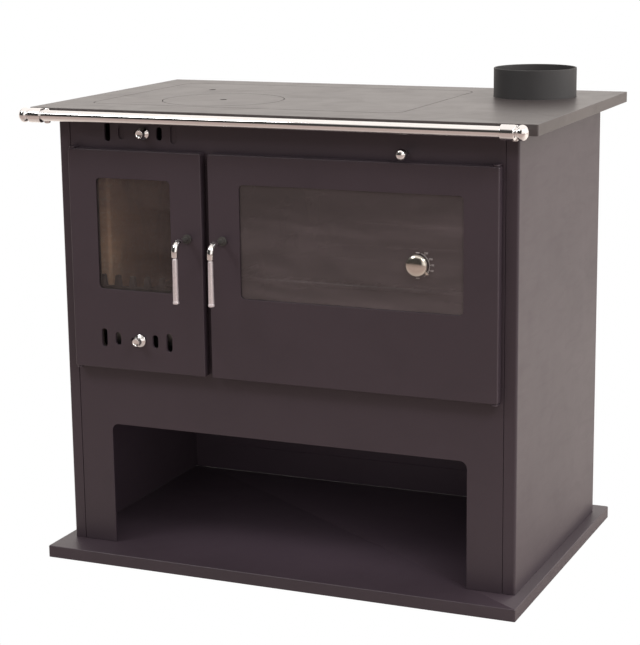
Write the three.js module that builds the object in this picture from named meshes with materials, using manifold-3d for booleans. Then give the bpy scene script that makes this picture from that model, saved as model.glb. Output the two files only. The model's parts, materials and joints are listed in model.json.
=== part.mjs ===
// Wood-burning cookstove: a steel casing on a base plate, a firebox and an oven side by side
// behind two glazed doors, an open wood store below, and a hob with a removable insert, a
// round lid, a flue collar and a chromed rail.
//
// Millimetres. +X to the right seen from the front, +Y towards the back, +Z up.
// The origin is on the floor under the middle of the base plate.

import * as THREE from "three";
import { mergeVertices } from "three/addons/utils/BufferGeometryUtils.js";
import Module from "manifold-3d";

const wasm = await Module();
wasm.setup();

// ---------------------------------------------------------------- driving dimensions

// Whole stove
const STOVE_HEIGHT = 750; // floor to the hob's cooking face
const BODY_WIDTH = 778;
const BODY_DEPTH = 452;
const SHEET = 2.5; // casing sheet
const FIT = 0.3; // gap where pieces seat on each other

// Base plate
const BASE_HEIGHT = 20;
const BASE_SIDE_OVERHANG = 18.5;
const BASE_FRONT_OVERHANG = 58;
const REAR_OVERHANG = 33; // base and hob end in one line behind the body
const BASE_SHEET = 3;
const BASE_RIB_WIDTH = 40;
const BASE_RIB_END_GAP = 20;

// Casing
const FLANGE = 20; // side panel folded round the front and the back
const FOLD_RADIUS = 4;
const FLANGE_SEAM = 1; // groove between flange and front panel
const JOGGLE_LAP = 15; // front and back panel edges behind the flanges
const BACK_FIELD_MARGIN = 45;
const BACK_FIELD_RAISE = 2;

// Wood store
const STORE_WIDTH = 620;
const STORE_OPENING_TOP = 226;
const STORE_CORNER = 12;
const STORE_CEILING = 238;
const HEARTH_SHELF_TOP = 315;
const SHELF_LIP = 18;

// Hob
const HOB_THICKNESS = 17;
const HOB_SIDE_OVERHANG = 36;
const HOB_FRONT_OVERHANG = 28;
const HOB_PLATE = 6;
const HOB_SKIRT = 4;
const HOB_CORNER = 3;
const SEAT_RIB = 6; // rib under the hob that stands on the casing
const INSERT_TO_FLUE = 52; // gap from the insert's right edge to the flue collar
const INSERT_DEPTH = 367;
const INSERT_FROM_LEFT = 60;
const INSERT_FROM_FRONT = 85;
const INSERT_CORNER = 25;
const INSERT_SEAM = 1.2;
const LEDGE_WIDTH = 6; // seat of the insert
const LEDGE_DEPTH = 6;
const LID_LEDGE = 5;
const LID_SEAT_WALL = 3;
const LID_RADIUS = 100;
const LID_FROM_INSERT_LEFT = 190;
const LID_FROM_INSERT_FRONT = 113;
const LIFT_HOLE_RADIUS = 6;
const LIFT_HOLE_DEPTH = 3.5;
const INSERT_HOLE_FROM_LEFT = 95;
const INSERT_HOLE_FROM_FRONT = 264;

// Flue collar and smoke path
const FLUE_BORE_RADIUS = 65; // takes the end of a 130 mm stove pipe
const FLUE_WALL = 3;
const FLUE_HEIGHT = 47;
const FLUE_FROM_RIGHT = 127;
const FLUE_FROM_BACK = 112.5;
const FLUE_FLANGE = 4;
const FLUE_BOX_WIDTH = 216;
const FLUE_BOX_RIGHT_GAP = 13;
const FLUE_BOX_DEPTH = 150;
const SMOKE_SHEET = 2;

// Hob rail
const RAIL_RADIUS = 8.5;
const RAIL_STANDOFF = 35;
const RAIL_COLLAR_RADIUS = 11.5;
const RAIL_COLLAR_LENGTH = 24;
const RAIL_BALL_RADIUS = 11.8;
const RAIL_BALL_LENGTH = 18; // slightly flattened along the rail
const RAIL_END_INSET = 3.7; // tip inside the hob's side
const RAIL_NECK_RADIUS = 6.5;
const RAIL_SOCKET = 14;
const BRACKET_WIDTH = 10;
const BRACKET_SETBACK = 10.5; // from the collar's inner end
const BRACKET_THICKNESS = 4.5;
const BRACKET_DROP = 8;
const BRACKET_STUD_RADIUS = 4.5;

// Doors
const DOOR_BOTTOM = 325; // height above the floor
const DOOR_TOP_DROP = 47.7; // doors' upper edge below the casing's
const DOOR_DEPTH = 16;
const DOOR_STANDOFF = 2;
const DOOR_SHEET = 2.5;
const DOOR_BEVEL = 1.5;
const DOOR_CORNER = 3;
const DOOR_MARGIN = 5; // door edge to the flange's inner edge
const DOOR_GAP = 12;
const FIREBOX_DOOR_WIDTH = 238;
const DOOR_LINER = 2;
const WINDOW_BOTTOM = 133; // above the door's lower edge
const WINDOW_TOP_MARGIN = 46; // below the door's upper edge
const WINDOW_CORNER = 7;
const FIREBOX_WINDOW_LEFT = 50;
const OVEN_WINDOW_LEFT = 54;
const WINDOW_RIGHT_MARGIN = 55;
const GLASS_THICKNESS = 4;
const GLASS_LAP = 12;
const SEAL_GAP = 0.6;
const SEAL_OFFSET = 7; // middle of the rope seal outside the opening's edge
const HINGE_INSET = 6; // pin axis behind the door's side edge
const HINGE_DEPTH = 5.5; // pin axis behind the door's face
const PIN_RADIUS = 2.5;
const PIN_CLEARANCE = 0.3;
const PIN_LENGTH = 6;
const HINGE_PLATE = 2.5;
const HINGE_ROUND = 5;

// Openings in the front panel, from the door edges
const FIREBOX_LAP = 15;
const OVEN_HANDLE_LAP = 15;
const OVEN_HINGE_LAP = 30;
const OPENING_TOP_LAP = 21;
const FIREBOX_BOTTOM_LAP = 21;
const OVEN_OPENING_RISE = 115;
const OPENING_CORNER = 8;

// Door handles
const HANDLE_INSET = 25;
const HANDLE_STANDOFF = 45;
const SPINDLE_RADIUS = 4;
const SPINDLE_CLEARANCE = 0.4;
const ROSE_RADIUS = 7.5;
const ROSE_THICKNESS = 3;
const NECK_RADIUS = 5.4;
const NECK_BEND = 14;
const NECK_SLEEVE = 6; // straight part round the spindle
const NECK_DROP = 22;
const GRIP_LENGTH = 74;
const GRIP_TOP_RADIUS = 4.1;
const GRIP_FOOT_RADIUS = 4.6;
const GRIP_CAP_RADIUS = 5.3;
const GRIP_CAP_LENGTH = 4;
const TONGUE_THICKNESS = 3;
const TONGUE_CLEARANCE = 3.8; // tongue tip short of the opening's edge
const TONGUE_HEIGHT = 8;

// Air registers: four slots each, opened and closed by a slider behind them
const SLOT_WIDTH = 10.5;
const SLOT_TALL = 30.5;
const SLOT_SHORT = 21.5;
const SLOT_INNER = 34; // from the register's middle
const SLOT_OUTER = 59.5;
const AIR_TRAVEL = 14;
const SLIDER_SHEET = 2;
const SLIDER_MARGIN = 3.2;
const GUIDE_SHEET = 1.5;
const GUIDE_LIP = 4;
const KNOB_OFFSET = 7;
const KNOB_STEM_RADIUS = 3;
const KNOB_BASE_RADIUS = 10.5;
const KNOB_FACE_RADIUS = 6.5;
const KNOB_LENGTH = 17;
const UPPER_AIR_DROP = 21.7; // below the casing's upper edge
const UPPER_AIR_SHIFT = 4.5; // register's middle from the firebox door's middle
const LOWER_AIR_RISE = 51.5; // above the door's lower edge
const LOWER_AIR_SHIFT = -3.5;

// Smoke damper
const DAMPER_FROM_RIGHT = 177;
const DAMPER_DROP = 35.2; // below the casing's upper edge
const DAMPER_ROD_RADIUS = 3;
const DAMPER_BALL_RADIUS = 9;
const DAMPER_BALL_OUT = 22; // ball's middle in front of the front panel
const DAMPER_PORT_WIDTH = 84;
const DAMPER_PORT_HEIGHT = 40;
const DAMPER_PLATE_LAP = 8;
const DAMPER_PLATE = 3;
const ROD_GUIDE_DEPTH = 150;
const ROD_GUIDE_WIDTH = 26;

// Firebox
const FIREBOX_WALL = 3;
const FIREBOX_BACK_GAP = 44.6; // shell's back to the back panel
const FIREBOX_CLEAR = 3; // shell inside face outside the opening's edge
const ASH_FLOOR = 346;
const GRATE_BED_BOTTOM = 408;
const GRATE_BED_THICKNESS = 10;
const GRATE_BRICK_GAP = 3.7;
const GRATE_LENGTH = 260;
const GRATE_THICKNESS = 12;
const GRATE_SEAT = 6;
const GRATE_SLOT = 11;
const GRATE_BAR = 9;
const GRATE_BRIDGE = 14;
const GRATE_CORNER = 6;
const GRATE_PLAY = 1;
const GRATE_SLOT_DRAFT = 1.5;
const GRATE_FROM_FRONT = 68;
const BEARER = 8; // square bars that carry the grate bed
const BEARER_SETBACK = 5;
const BRICK_THICKNESS = 28;
const BRICK_TOP_DROP = 92.4; // bricks' upper edge below the casing's
const BRICK_FRONT = 36;
const BRICK_CHAMFER = 4;
const BRICK_JOINT = 0.8;
const GUARD_THICKNESS = 8;
const GUARD_DEPTH = 14;
const GUARD_HEIGHT = 38;
const TOOTH_HEIGHT = 18;
const TOOTH_WIDTH = 10;
const TOOTH_PITCH = 27;
const TOOTH_COUNT = 7;
const TOOTH_DRAFT = 1;
const SMOKE_PORT_HEIGHT = 64;
const SMOKE_PORT_MARGIN = 8;
const ASH_PAN_HEIGHT = 50;
const ASH_PAN_SIDE_GAP = 10;
const ASH_PAN_LENGTH = 330;
const ASH_PAN_FRONT = 14;
const ASH_PAN_WALL = 1.5;
const ASH_PAN_DRAFT = 3;
const PULL_WIDTH = 60;
const PULL_REACH = 8;
const PULL_LIP = 12;

// Oven
const OVEN_SHEET = 2;
const OVEN_BACK_GAP = 57.6; // smoke channel behind the oven
const OVEN_FLANGE = 12;
const OVEN_CLEAR = 1;
const RUNNER_WIDTH = 9;
const RUNNER_THICKNESS = 3;
const RUNNER_SETBACK = 10;
const RUNNER_HEIGHTS = [42, 128]; // above the oven floor
const RACK_FRAME_RADIUS = 3;
const RACK_WIRE_RADIUS = 2;
const RACK_SIDE_GAP = 2;
const RACK_DEPTH_PLAY = 36; // oven's depth less the rack's length
const RACK_BARS = 13;
const TRAY_SIDE_GAP = 32.5; // tray's side to the oven's wall
const TRAY_RACK_PLAY = 30; // rack's length less the tray's
const TRAY_DEPTH = 38;
const TRAY_WALL = 1.6;
const TRAY_RIM = 8;
const TRAY_DRAFT = 10;
const TRAY_CORNER = 26;
const SOOT_WIDTH = 200;
const SOOT_HEIGHT = 56;
const SOOT_LEFT = 109; // from the oven opening's left edge
const SOOT_DROP = 60; // opening's middle below the oven opening
const SOOT_LAP = 12;
const SOOT_LIP = 7;
const SOOT_LIP_WIDTH = 50;

// Oven thermometer: a turning cap in front of the glass, with a pointer over a printed scale
const THERMO_FROM_WINDOW_RIGHT = 74;
const THERMO_RISE = 72; // above the window's lower edge
const THERMO_RADIUS = 17;
const THERMO_GAP = 2; // glass to the cap's rim
const THERMO_RIM = 3;
const THERMO_DOME = 6.5;
const THERMO_WALL = 1.5;
const THERMO_STEM_RADIUS = 4;
const THERMO_BOSS_RADIUS = 9;
const THERMO_BEHIND = 10; // stem behind the glass
const POINTER_REACH = 23;
const POINTER_WIDTH = 4;
const POINTER_SHEET = 1.2;
const POINTER_ANGLE = -34; // cold oven

// ---------------------------------------------------------------- derived planes

const BASE_DEPTH = BASE_FRONT_OVERHANG + BODY_DEPTH + REAR_OVERHANG;
const BODY_FRONT = BASE_FRONT_OVERHANG - BASE_DEPTH / 2;
const BODY_BACK = BODY_FRONT + BODY_DEPTH;
const BODY_HALF = BODY_WIDTH / 2;
const BODY_FOOT = BASE_HEIGHT + FIT;
const HOB_UNDERSIDE = STOVE_HEIGHT - HOB_THICKNESS;
const BODY_TOP = HOB_UNDERSIDE - FIT;
const PLATE_UNDERSIDE = STOVE_HEIGHT - HOB_PLATE;
const LEDGE_BOTTOM = PLATE_UNDERSIDE - LEDGE_DEPTH;
const HOB_HALF = BODY_HALF + HOB_SIDE_OVERHANG;
const HOB_FRONT = BODY_FRONT - HOB_FRONT_OVERHANG;
const HOB_BACK = BODY_BACK + REAR_OVERHANG;
const BEHIND_PANEL = BODY_FRONT + SHEET + FIT;
const BEHIND_JOGGLE = BODY_FRONT + 2 * (SHEET + FIT);
const FRONT_EDGE = BODY_HALF - FLANGE - FLANGE_SEAM; // visible edge of the front's strips
const FLANGE_LAP = BODY_HALF - FLANGE + JOGGLE_LAP; // hidden edge of front and back sheets
const BACK_INNER = BODY_BACK - 2 * (SHEET + FIT);
const FLUE_X = HOB_HALF - FLUE_FROM_RIGHT;
const FLUE_Y = HOB_BACK - FLUE_FROM_BACK;
const FLUE_OUTER = FLUE_BORE_RADIUS + FLUE_WALL;
const INSERT_LEFT = INSERT_FROM_LEFT - HOB_HALF;
const INSERT_WIDTH = FLUE_X - FLUE_OUTER - INSERT_TO_FLUE - INSERT_LEFT;
const INSERT_FRONT = HOB_FRONT + INSERT_FROM_FRONT;
const LID_X = INSERT_LEFT + LID_FROM_INSERT_LEFT;
const LID_Y = INSERT_FRONT + LID_FROM_INSERT_FRONT;

const DOOR_TOP = BODY_TOP - DOOR_TOP_DROP;
const DOOR_HEIGHT = DOOR_TOP - DOOR_BOTTOM;
const DOOR_FACE = BODY_FRONT - DOOR_STANDOFF - DOOR_DEPTH;
const FIREBOX_DOOR_LEFT = -BODY_HALF + FLANGE + DOOR_MARGIN;
const FIREBOX_DOOR_RIGHT = FIREBOX_DOOR_LEFT + FIREBOX_DOOR_WIDTH;
const OVEN_DOOR_LEFT = FIREBOX_DOOR_RIGHT + DOOR_GAP;
const OVEN_DOOR_RIGHT = BODY_HALF - FLANGE - DOOR_MARGIN;
const OVEN_DOOR_WIDTH = OVEN_DOOR_RIGHT - OVEN_DOOR_LEFT;
const FIREBOX_WINDOW_WIDTH = FIREBOX_DOOR_WIDTH - FIREBOX_WINDOW_LEFT - WINDOW_RIGHT_MARGIN;
const OVEN_WINDOW_WIDTH = OVEN_DOOR_WIDTH - OVEN_WINDOW_LEFT - WINDOW_RIGHT_MARGIN;
const WINDOW_HEIGHT = DOOR_HEIGHT - WINDOW_BOTTOM - WINDOW_TOP_MARGIN;
const HANDLE_RISE = WINDOW_BOTTOM + WINDOW_HEIGHT / 2;
const GLASS_FRONT = DOOR_SHEET + FIT; // depths behind the door's face
const LINER_FRONT = GLASS_FRONT + GLASS_THICKNESS + FIT;
const SEAL_FRONT = LINER_FRONT + DOOR_LINER + FIT;
const SEAL_DIAMETER = DOOR_DEPTH + DOOR_STANDOFF - SEAL_GAP - SEAL_FRONT;
const PANEL_BACK = DOOR_DEPTH + DOOR_STANDOFF + SHEET;
const TONGUE_FRONT = PANEL_BACK + 2 * FIT;

const FIRE_LEFT = FIREBOX_DOOR_LEFT + FIREBOX_LAP;
const FIRE_RIGHT = FIREBOX_DOOR_RIGHT - FIREBOX_LAP;
const FIRE_BOTTOM = DOOR_BOTTOM + FIREBOX_BOTTOM_LAP;
const OPENING_TOP = DOOR_TOP - OPENING_TOP_LAP;
const OVEN_LEFT = OVEN_DOOR_LEFT + OVEN_HANDLE_LAP;
const OVEN_RIGHT = OVEN_DOOR_RIGHT - OVEN_HINGE_LAP;
const OVEN_BOTTOM = DOOR_BOTTOM + OVEN_OPENING_RISE;
const FIREBOX_DEPTH = BACK_INNER - FIREBOX_BACK_GAP - FIREBOX_WALL - BEHIND_PANEL;
const OVEN_DEPTH = BACK_INNER - OVEN_BACK_GAP - BEHIND_PANEL;
const RACK_LENGTH = OVEN_DEPTH - RACK_DEPTH_PLAY;
const TRAY_LENGTH = RACK_LENGTH - TRAY_RACK_PLAY;
const SHELL_LEFT = FIRE_LEFT - FIREBOX_CLEAR;
const SHELL_RIGHT = FIRE_RIGHT + FIREBOX_CLEAR;
const GRATE_WIDTH = SHELL_RIGHT - SHELL_LEFT - 2 * (FIT + BRICK_THICKNESS + GRATE_BRICK_GAP);
const GRATE_BED_TOP = GRATE_BED_BOTTOM + GRATE_BED_THICKNESS;
const OVEN_INNER_LEFT = OVEN_LEFT - OVEN_CLEAR;
const OVEN_INNER_RIGHT = OVEN_RIGHT + OVEN_CLEAR;
const OVEN_FLOOR = OVEN_BOTTOM - OVEN_CLEAR;
const OVEN_ROOF = OPENING_TOP + OVEN_CLEAR;
const OVEN_TOP = OVEN_ROOF + OVEN_SHEET;
const UPPER_AIR_HEIGHT = BODY_TOP - UPPER_AIR_DROP;
const UPPER_AIR_X = (FIREBOX_DOOR_LEFT + FIREBOX_DOOR_RIGHT) / 2 + UPPER_AIR_SHIFT;
const DAMPER_HEIGHT = BODY_TOP - DAMPER_DROP;
const DAMPER_X = BODY_HALF - DAMPER_FROM_RIGHT;
const FLUE_BOX_RIGHT = BODY_HALF - FLUE_BOX_RIGHT_GAP;
const FLUE_BOX_LEFT = FLUE_BOX_RIGHT - FLUE_BOX_WIDTH;
const FLUE_BOX_BACK = BODY_BACK - SEAT_RIB - FIT;
const FLUE_BOX_FRONT = FLUE_BOX_BACK - FLUE_BOX_DEPTH;
const RAIL_Y = HOB_FRONT - RAIL_STANDOFF;
const RAIL_Z = STOVE_HEIGHT - HOB_THICKNESS / 2;

// ---------------------------------------------------------------- materials

const paint = (color, roughness) => new THREE.MeshStandardMaterial({ color, roughness, metalness: 0.35 });
const castingPaint = paint(0x3e3236, 0.55);
const hobPaint = paint(0x5a5250, 0.45);
const fluePaint = paint(0x2b2829, 0.6);
const innerSteel = new THREE.MeshStandardMaterial({ color: 0x4a4542, roughness: 0.6, metalness: 0.7 });
const castIron = new THREE.MeshStandardMaterial({ color: 0x2c2a29, roughness: 0.8, metalness: 0.5 });
const chrome = new THREE.MeshStandardMaterial({ color: 0xe4e2e0, roughness: 0.08, metalness: 1 });
const satinChrome = new THREE.MeshStandardMaterial({ color: 0xcfc8c8, roughness: 0.35, metalness: 1 });
const zincSteel = new THREE.MeshStandardMaterial({ color: 0x9a9894, roughness: 0.4, metalness: 0.9 });
const firebrick = new THREE.MeshStandardMaterial({ color: 0xb79f7d, roughness: 0.95, metalness: 0 });
const ropeSeal = new THREE.MeshStandardMaterial({ color: 0x55524e, roughness: 1, metalness: 0 });
const ovenEnamel = new THREE.MeshStandardMaterial({ color: 0x24262a, roughness: 0.3, metalness: 0.1 });
const stoveGlass = new THREE.MeshStandardMaterial({
  color: 0x1c1b19,
  roughness: 0.05,
  metalness: 0,
  transparent: true,
  opacity: 0.45,
});

// ---------------------------------------------------------------- shape tools

// Closed solid from a three.js geometry, with its faces turned outwards.
function solid(geometry) {
  const flat = geometry.index ? geometry.toNonIndexed() : geometry.clone();
  flat.deleteAttribute("normal");
  flat.deleteAttribute("uv");
  const merged = mergeVertices(flat, 1e-4);
  const points = merged.attributes.position.array;
  const index = merged.index.array;
  const triangles = [];
  let volume = 0;
  for (let i = 0; i < index.length; i += 3) {
    const [a, b, c] = [index[i], index[i + 1], index[i + 2]];
    if (a === b || b === c || c === a) continue;
    triangles.push(a, b, c);
    const [p, q, r] = [a, b, c].map((k) => new THREE.Vector3().fromArray(points, 3 * k));
    volume += p.dot(q.cross(r));
  }
  if (volume < 0) triangles.reverse();
  return new wasm.Manifold(
    new wasm.Mesh({
      numProp: 3,
      vertProperties: new Float32Array(points),
      triVerts: new Uint32Array(triangles),
    }),
  );
}

function geometryOf(body) {
  const mesh = body.getMesh();
  const geometry = new THREE.BufferGeometry();
  geometry.setAttribute("position", new THREE.BufferAttribute(mesh.vertProperties, 3));
  geometry.setIndex(new THREE.BufferAttribute(mesh.triVerts, 1));
  geometry.computeVertexNormals();
  return geometry;
}

const join = (...bodies) => bodies.reduce((sum, body) => sum.add(body));
const cut = (base, ...tools) => tools.reduce((rest, tool) => rest.subtract(tool), base);

function mesh(name, body, material) {
  const item = new THREE.Mesh(geometryOf(body), material);
  item.name = name;
  return item;
}

function placed(x, y, z, ...children) {
  const group = new THREE.Group();
  group.position.set(x, y, z);
  group.add(...children);
  return group;
}

function block(x0, x1, y0, y1, z0, z1) {
  const box = new THREE.BoxGeometry(x1 - x0, y1 - y0, z1 - z0);
  box.translate((x0 + x1) / 2, (y0 + y1) / 2, (z0 + z1) / 2);
  return solid(box);
}

// Flat outlines. An outline is drawn in the plane that its prism is pushed through.
function outline(points) {
  return new THREE.Shape(points.map(([u, v]) => new THREE.Vector2(u, v)));
}

function roundedRect(u0, u1, v0, v1, radius) {
  const shape = new THREE.Shape();
  shape.moveTo(u0 + radius, v0);
  shape.lineTo(u1 - radius, v0);
  shape.absarc(u1 - radius, v0 + radius, radius, -Math.PI / 2, 0);
  shape.lineTo(u1, v1 - radius);
  shape.absarc(u1 - radius, v1 - radius, radius, 0, Math.PI / 2);
  shape.lineTo(u0 + radius, v1);
  shape.absarc(u0 + radius, v1 - radius, radius, Math.PI / 2, Math.PI);
  shape.lineTo(u0, v0 + radius);
  shape.absarc(u0 + radius, v0 + radius, radius, Math.PI, 1.5 * Math.PI);
  return shape;
}

const slotOutline = (u, v, width, height) =>
  roundedRect(u - width / 2, u + width / 2, v - height / 2, v + height / 2, Math.min(width, height) / 2 - 0.01);

// Prisms: the outline lies across the named axis and is pushed from one value to the other.
function prismZ(shape, z0, z1, curveSegments = 3) {
  const body = new THREE.ExtrudeGeometry(shape, { depth: z1 - z0, bevelEnabled: false, curveSegments });
  return solid(body.translate(0, 0, z0));
}

function prismY(shape, y0, y1, curveSegments = 3) {
  const body = new THREE.ExtrudeGeometry(shape, { depth: y1 - y0, bevelEnabled: false, curveSegments });
  return solid(body.rotateX(Math.PI / 2).translate(0, y1, 0));
}

function prismX(shape, x0, x1, curveSegments = 3) {
  const body = new THREE.ExtrudeGeometry(shape, { depth: x1 - x0, bevelEnabled: false, curveSegments });
  const turn = new THREE.Matrix4().makeBasis(
    new THREE.Vector3(0, 1, 0),
    new THREE.Vector3(0, 0, 1),
    new THREE.Vector3(1, 0, 0),
  );
  return solid(body.applyMatrix4(turn).translate(x0, 0, 0));
}

// Turned piece: a closed profile of [radius, height] pairs, with its axis along +Z.
function turned(profile, segments = 28) {
  const points = profile.map(([radius, height]) => new THREE.Vector2(radius, height));
  const closed = profile[0][0] > 0 || profile[profile.length - 1][0] > 0 ? [...points, points[0].clone()] : points;
  return new THREE.LatheGeometry(closed, segments).rotateX(Math.PI / 2);
}

const turnedZ = (profile, x, y, segments) => solid(turned(profile, segments).translate(x, y, 0));
const turnedForward = (profile, x, z, segments) =>
  solid(turned(profile, segments).rotateX(Math.PI / 2).translate(x, 0, z));

// Round bar between two points.
function bar(from, to, radius, segments = 12) {
  const start = new THREE.Vector3(...from);
  const run = new THREE.Vector3(...to).sub(start);
  const rod = new THREE.CylinderGeometry(radius, radius, run.length(), segments);
  rod.translate(0, run.length() / 2, 0);
  rod.applyQuaternion(new THREE.Quaternion().setFromUnitVectors(new THREE.Vector3(0, 1, 0), run.normalize()));
  return solid(rod.translate(start.x, start.y, start.z));
}

// Corner points of a rounded rectangle, the same number for every size.
function ringPoints(u0, u1, v0, v1, radius, steps = 3) {
  const corners = [
    [u1 - radius, v0 + radius, -90],
    [u1 - radius, v1 - radius, 0],
    [u0 + radius, v1 - radius, 90],
    [u0 + radius, v0 + radius, 180],
  ];
  return corners.flatMap(([u, v, start]) =>
    Array.from({ length: steps + 1 }, (_, k) => {
      const angle = THREE.MathUtils.degToRad(start + (90 * k) / steps);
      return [u + radius * Math.cos(angle), v + radius * Math.sin(angle)];
    }),
  );
}

// Surface through a row of rings with equal point counts. It closes with flat caps, or on
// itself when the first ring follows the last.
function loft(rings, closed = false) {
  const count = rings[0].length;
  const positions = rings.flat(2);
  const index = [];
  const last = closed ? rings.length : rings.length - 1;
  for (let r = 0; r < last; r++) {
    const next = (r + 1) % rings.length;
    for (let k = 0; k < count; k++) {
      const j = (k + 1) % count;
      index.push(r * count + k, r * count + j, next * count + j);
      index.push(r * count + k, next * count + j, next * count + k);
    }
  }
  if (!closed) {
    for (const [ring, flip] of [[0, true], [rings.length - 1, false]]) {
      for (let k = 1; k < count - 1; k++) {
        const fan = [ring * count, ring * count + k, ring * count + k + 1];
        index.push(...(flip ? fan.reverse() : fan));
      }
    }
  }
  const geometry = new THREE.BufferGeometry();
  geometry.setAttribute("position", new THREE.Float32BufferAttribute(positions, 3));
  geometry.setIndex(index);
  return solid(geometry);
}

// ---------------------------------------------------------------- base and casing

// Folded tray on its rim, with three stiffening channels that also stand on the floor.
function basePlate() {
  const halfWidth = BODY_HALF + BASE_SIDE_OVERHANG;
  const halfDepth = BASE_DEPTH / 2;
  const innerHalf = halfWidth - BASE_SHEET;
  const innerDepth = halfDepth - BASE_SHEET;
  const deck = BASE_HEIGHT - BASE_SHEET;
  const outer = loft([
    ringPoints(-halfWidth, halfWidth, -halfDepth, halfDepth, 2).map(([x, y]) => [x, y, 0]),
    ringPoints(-halfWidth, halfWidth, -halfDepth, halfDepth, 2).map(([x, y]) => [x, y, BASE_HEIGHT - 1]),
    ringPoints(1 - halfWidth, halfWidth - 1, 1 - halfDepth, halfDepth - 1, 2).map(([x, y]) => [x, y, BASE_HEIGHT]),
  ]);
  const tray = cut(outer, block(-innerHalf, innerHalf, -innerDepth, innerDepth, -1, deck));
  const ribEnd = innerDepth - BASE_RIB_END_GAP;
  const ribs = [-halfWidth / 2, 0, halfWidth / 2].map((x) => {
    const half = BASE_RIB_WIDTH / 2;
    const channel = block(x - half, x + half, -ribEnd, ribEnd, 0, deck + BASE_SHEET / 2);
    const hollow = block(x - half + BASE_SHEET, x + half - BASE_SHEET, -ribEnd - 1, ribEnd + 1, BASE_SHEET, deck);
    return cut(channel, hollow);
  });
  return mesh("base_plate", join(tray, ...ribs), castingPaint);
}

// One side of the casing: sheet folded round the front and the back edge.
function sidePanel(name, side) {
  const fold = (cornerX, cornerY, radius, start) =>
    Array.from({ length: 4 }, (_, k) => {
      const angle = THREE.MathUtils.degToRad(start + 30 * k);
      return [cornerX + radius * Math.cos(angle), cornerY + radius * Math.sin(angle)];
    });
  const inner = FOLD_RADIUS - SHEET;
  const foldX = BODY_HALF - FOLD_RADIUS;
  const lip = BODY_HALF - FLANGE;
  const profile = [
    [lip, BODY_FRONT],
    ...fold(foldX, BODY_FRONT + FOLD_RADIUS, FOLD_RADIUS, -90),
    ...fold(foldX, BODY_BACK - FOLD_RADIUS, FOLD_RADIUS, 0),
    [lip, BODY_BACK],
    [lip, BODY_BACK - SHEET],
    ...fold(foldX, BODY_BACK - FOLD_RADIUS, inner, 0).reverse(),
    ...fold(foldX, BODY_FRONT + FOLD_RADIUS, inner, -90).reverse(),
    [lip, BODY_FRONT + SHEET],
  ].map(([x, y]) => [side * x, y]);
  return mesh(name, prismZ(outline(profile), BODY_FOOT, BODY_TOP), castingPaint);
}

// The four slots of an air register, as holes through a sheet.
function airSlots(middle, height, y0, y1) {
  const slots = [
    [-SLOT_OUTER, SLOT_TALL],
    [-SLOT_INNER, SLOT_SHORT],
    [SLOT_INNER, SLOT_SHORT],
    [SLOT_OUTER, SLOT_TALL],
  ];
  const stemWay = 2 * (KNOB_STEM_RADIUS + FIT);
  const knobMiddle = middle + KNOB_OFFSET - AIR_TRAVEL / 2;
  return [
    ...slots.map(([x, tall]) => prismY(slotOutline(middle + x, height, SLOT_WIDTH, tall), y0, y1, 1)),
    prismY(slotOutline(knobMiddle, height, AIR_TRAVEL + stemWay, stemWay), y0, y1, 2),
  ];
}

// Two hooked strips on the back of a sheet, in which the register's slider runs.
function sliderGuides(middle, height, sheetBack) {
  const reach = SLOT_OUTER + SLOT_WIDTH / 2 + AIR_TRAVEL + 2 * SLIDER_MARGIN;
  const edge = SLOT_TALL / 2 + SLIDER_MARGIN + FIT;
  const lipFront = sheetBack + SLIDER_SHEET + 2 * FIT;
  return [-1, 1].map((side) => {
    const profile = [
      [sheetBack - SHEET / 2, height + side * edge],
      [lipFront, height + side * edge],
      [lipFront, height + side * (edge - GUIDE_LIP)],
      [lipFront + GUIDE_SHEET, height + side * (edge - GUIDE_LIP)],
      [lipFront + GUIDE_SHEET, height + side * (edge + GUIDE_SHEET)],
      [sheetBack - SHEET / 2, height + side * (edge + GUIDE_SHEET)],
    ];
    return prismX(outline(profile), middle - reach, middle + reach);
  });
}

// The front is built of strips between the side flanges, so every opening has plain edges.
// Where a strip reaches a flange, its edge is stepped back behind it.
function frontStrip(x0, x1, z0, z1) {
  const back = BODY_FRONT + SHEET;
  const profile = [
    [-FRONT_EDGE, BODY_FRONT],
    [FRONT_EDGE, BODY_FRONT],
    [FRONT_EDGE, BEHIND_PANEL],
    [FLANGE_LAP, BEHIND_PANEL],
    [FLANGE_LAP, BEHIND_PANEL + SHEET],
    [FRONT_EDGE - SHEET, BEHIND_PANEL + SHEET],
    [FRONT_EDGE - SHEET, back],
    [SHEET - FRONT_EDGE, back],
    [SHEET - FRONT_EDGE, BEHIND_PANEL + SHEET],
    [-FLANGE_LAP, BEHIND_PANEL + SHEET],
    [-FLANGE_LAP, BEHIND_PANEL],
    [-FRONT_EDGE, BEHIND_PANEL],
  ];
  return prismZ(outline(profile), z0, z1).intersect(block(x0, x1, BODY_FRONT - 1, BEHIND_JOGGLE + SHEET, z0, z1));
}

// Strip above the doors, with the upper air register and the damper rod's hole.
function upperFrontPanel() {
  const back = BODY_FRONT + SHEET;
  const through = [BODY_FRONT - 1, back + 1];
  const strip = frontStrip(-FLANGE_LAP, FLANGE_LAP, OPENING_TOP, BODY_TOP);
  const guided = join(strip, ...sliderGuides(UPPER_AIR_X, UPPER_AIR_HEIGHT, back));
  const rodHole = bar([DAMPER_X, through[0], DAMPER_HEIGHT], [DAMPER_X, through[1], DAMPER_HEIGHT], DAMPER_ROD_RADIUS + FIT);
  const register = airSlots(UPPER_AIR_X, UPPER_AIR_HEIGHT, ...through);
  return mesh("upper_front_panel", cut(guided, rodHole, ...register), castingPaint);
}

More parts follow.
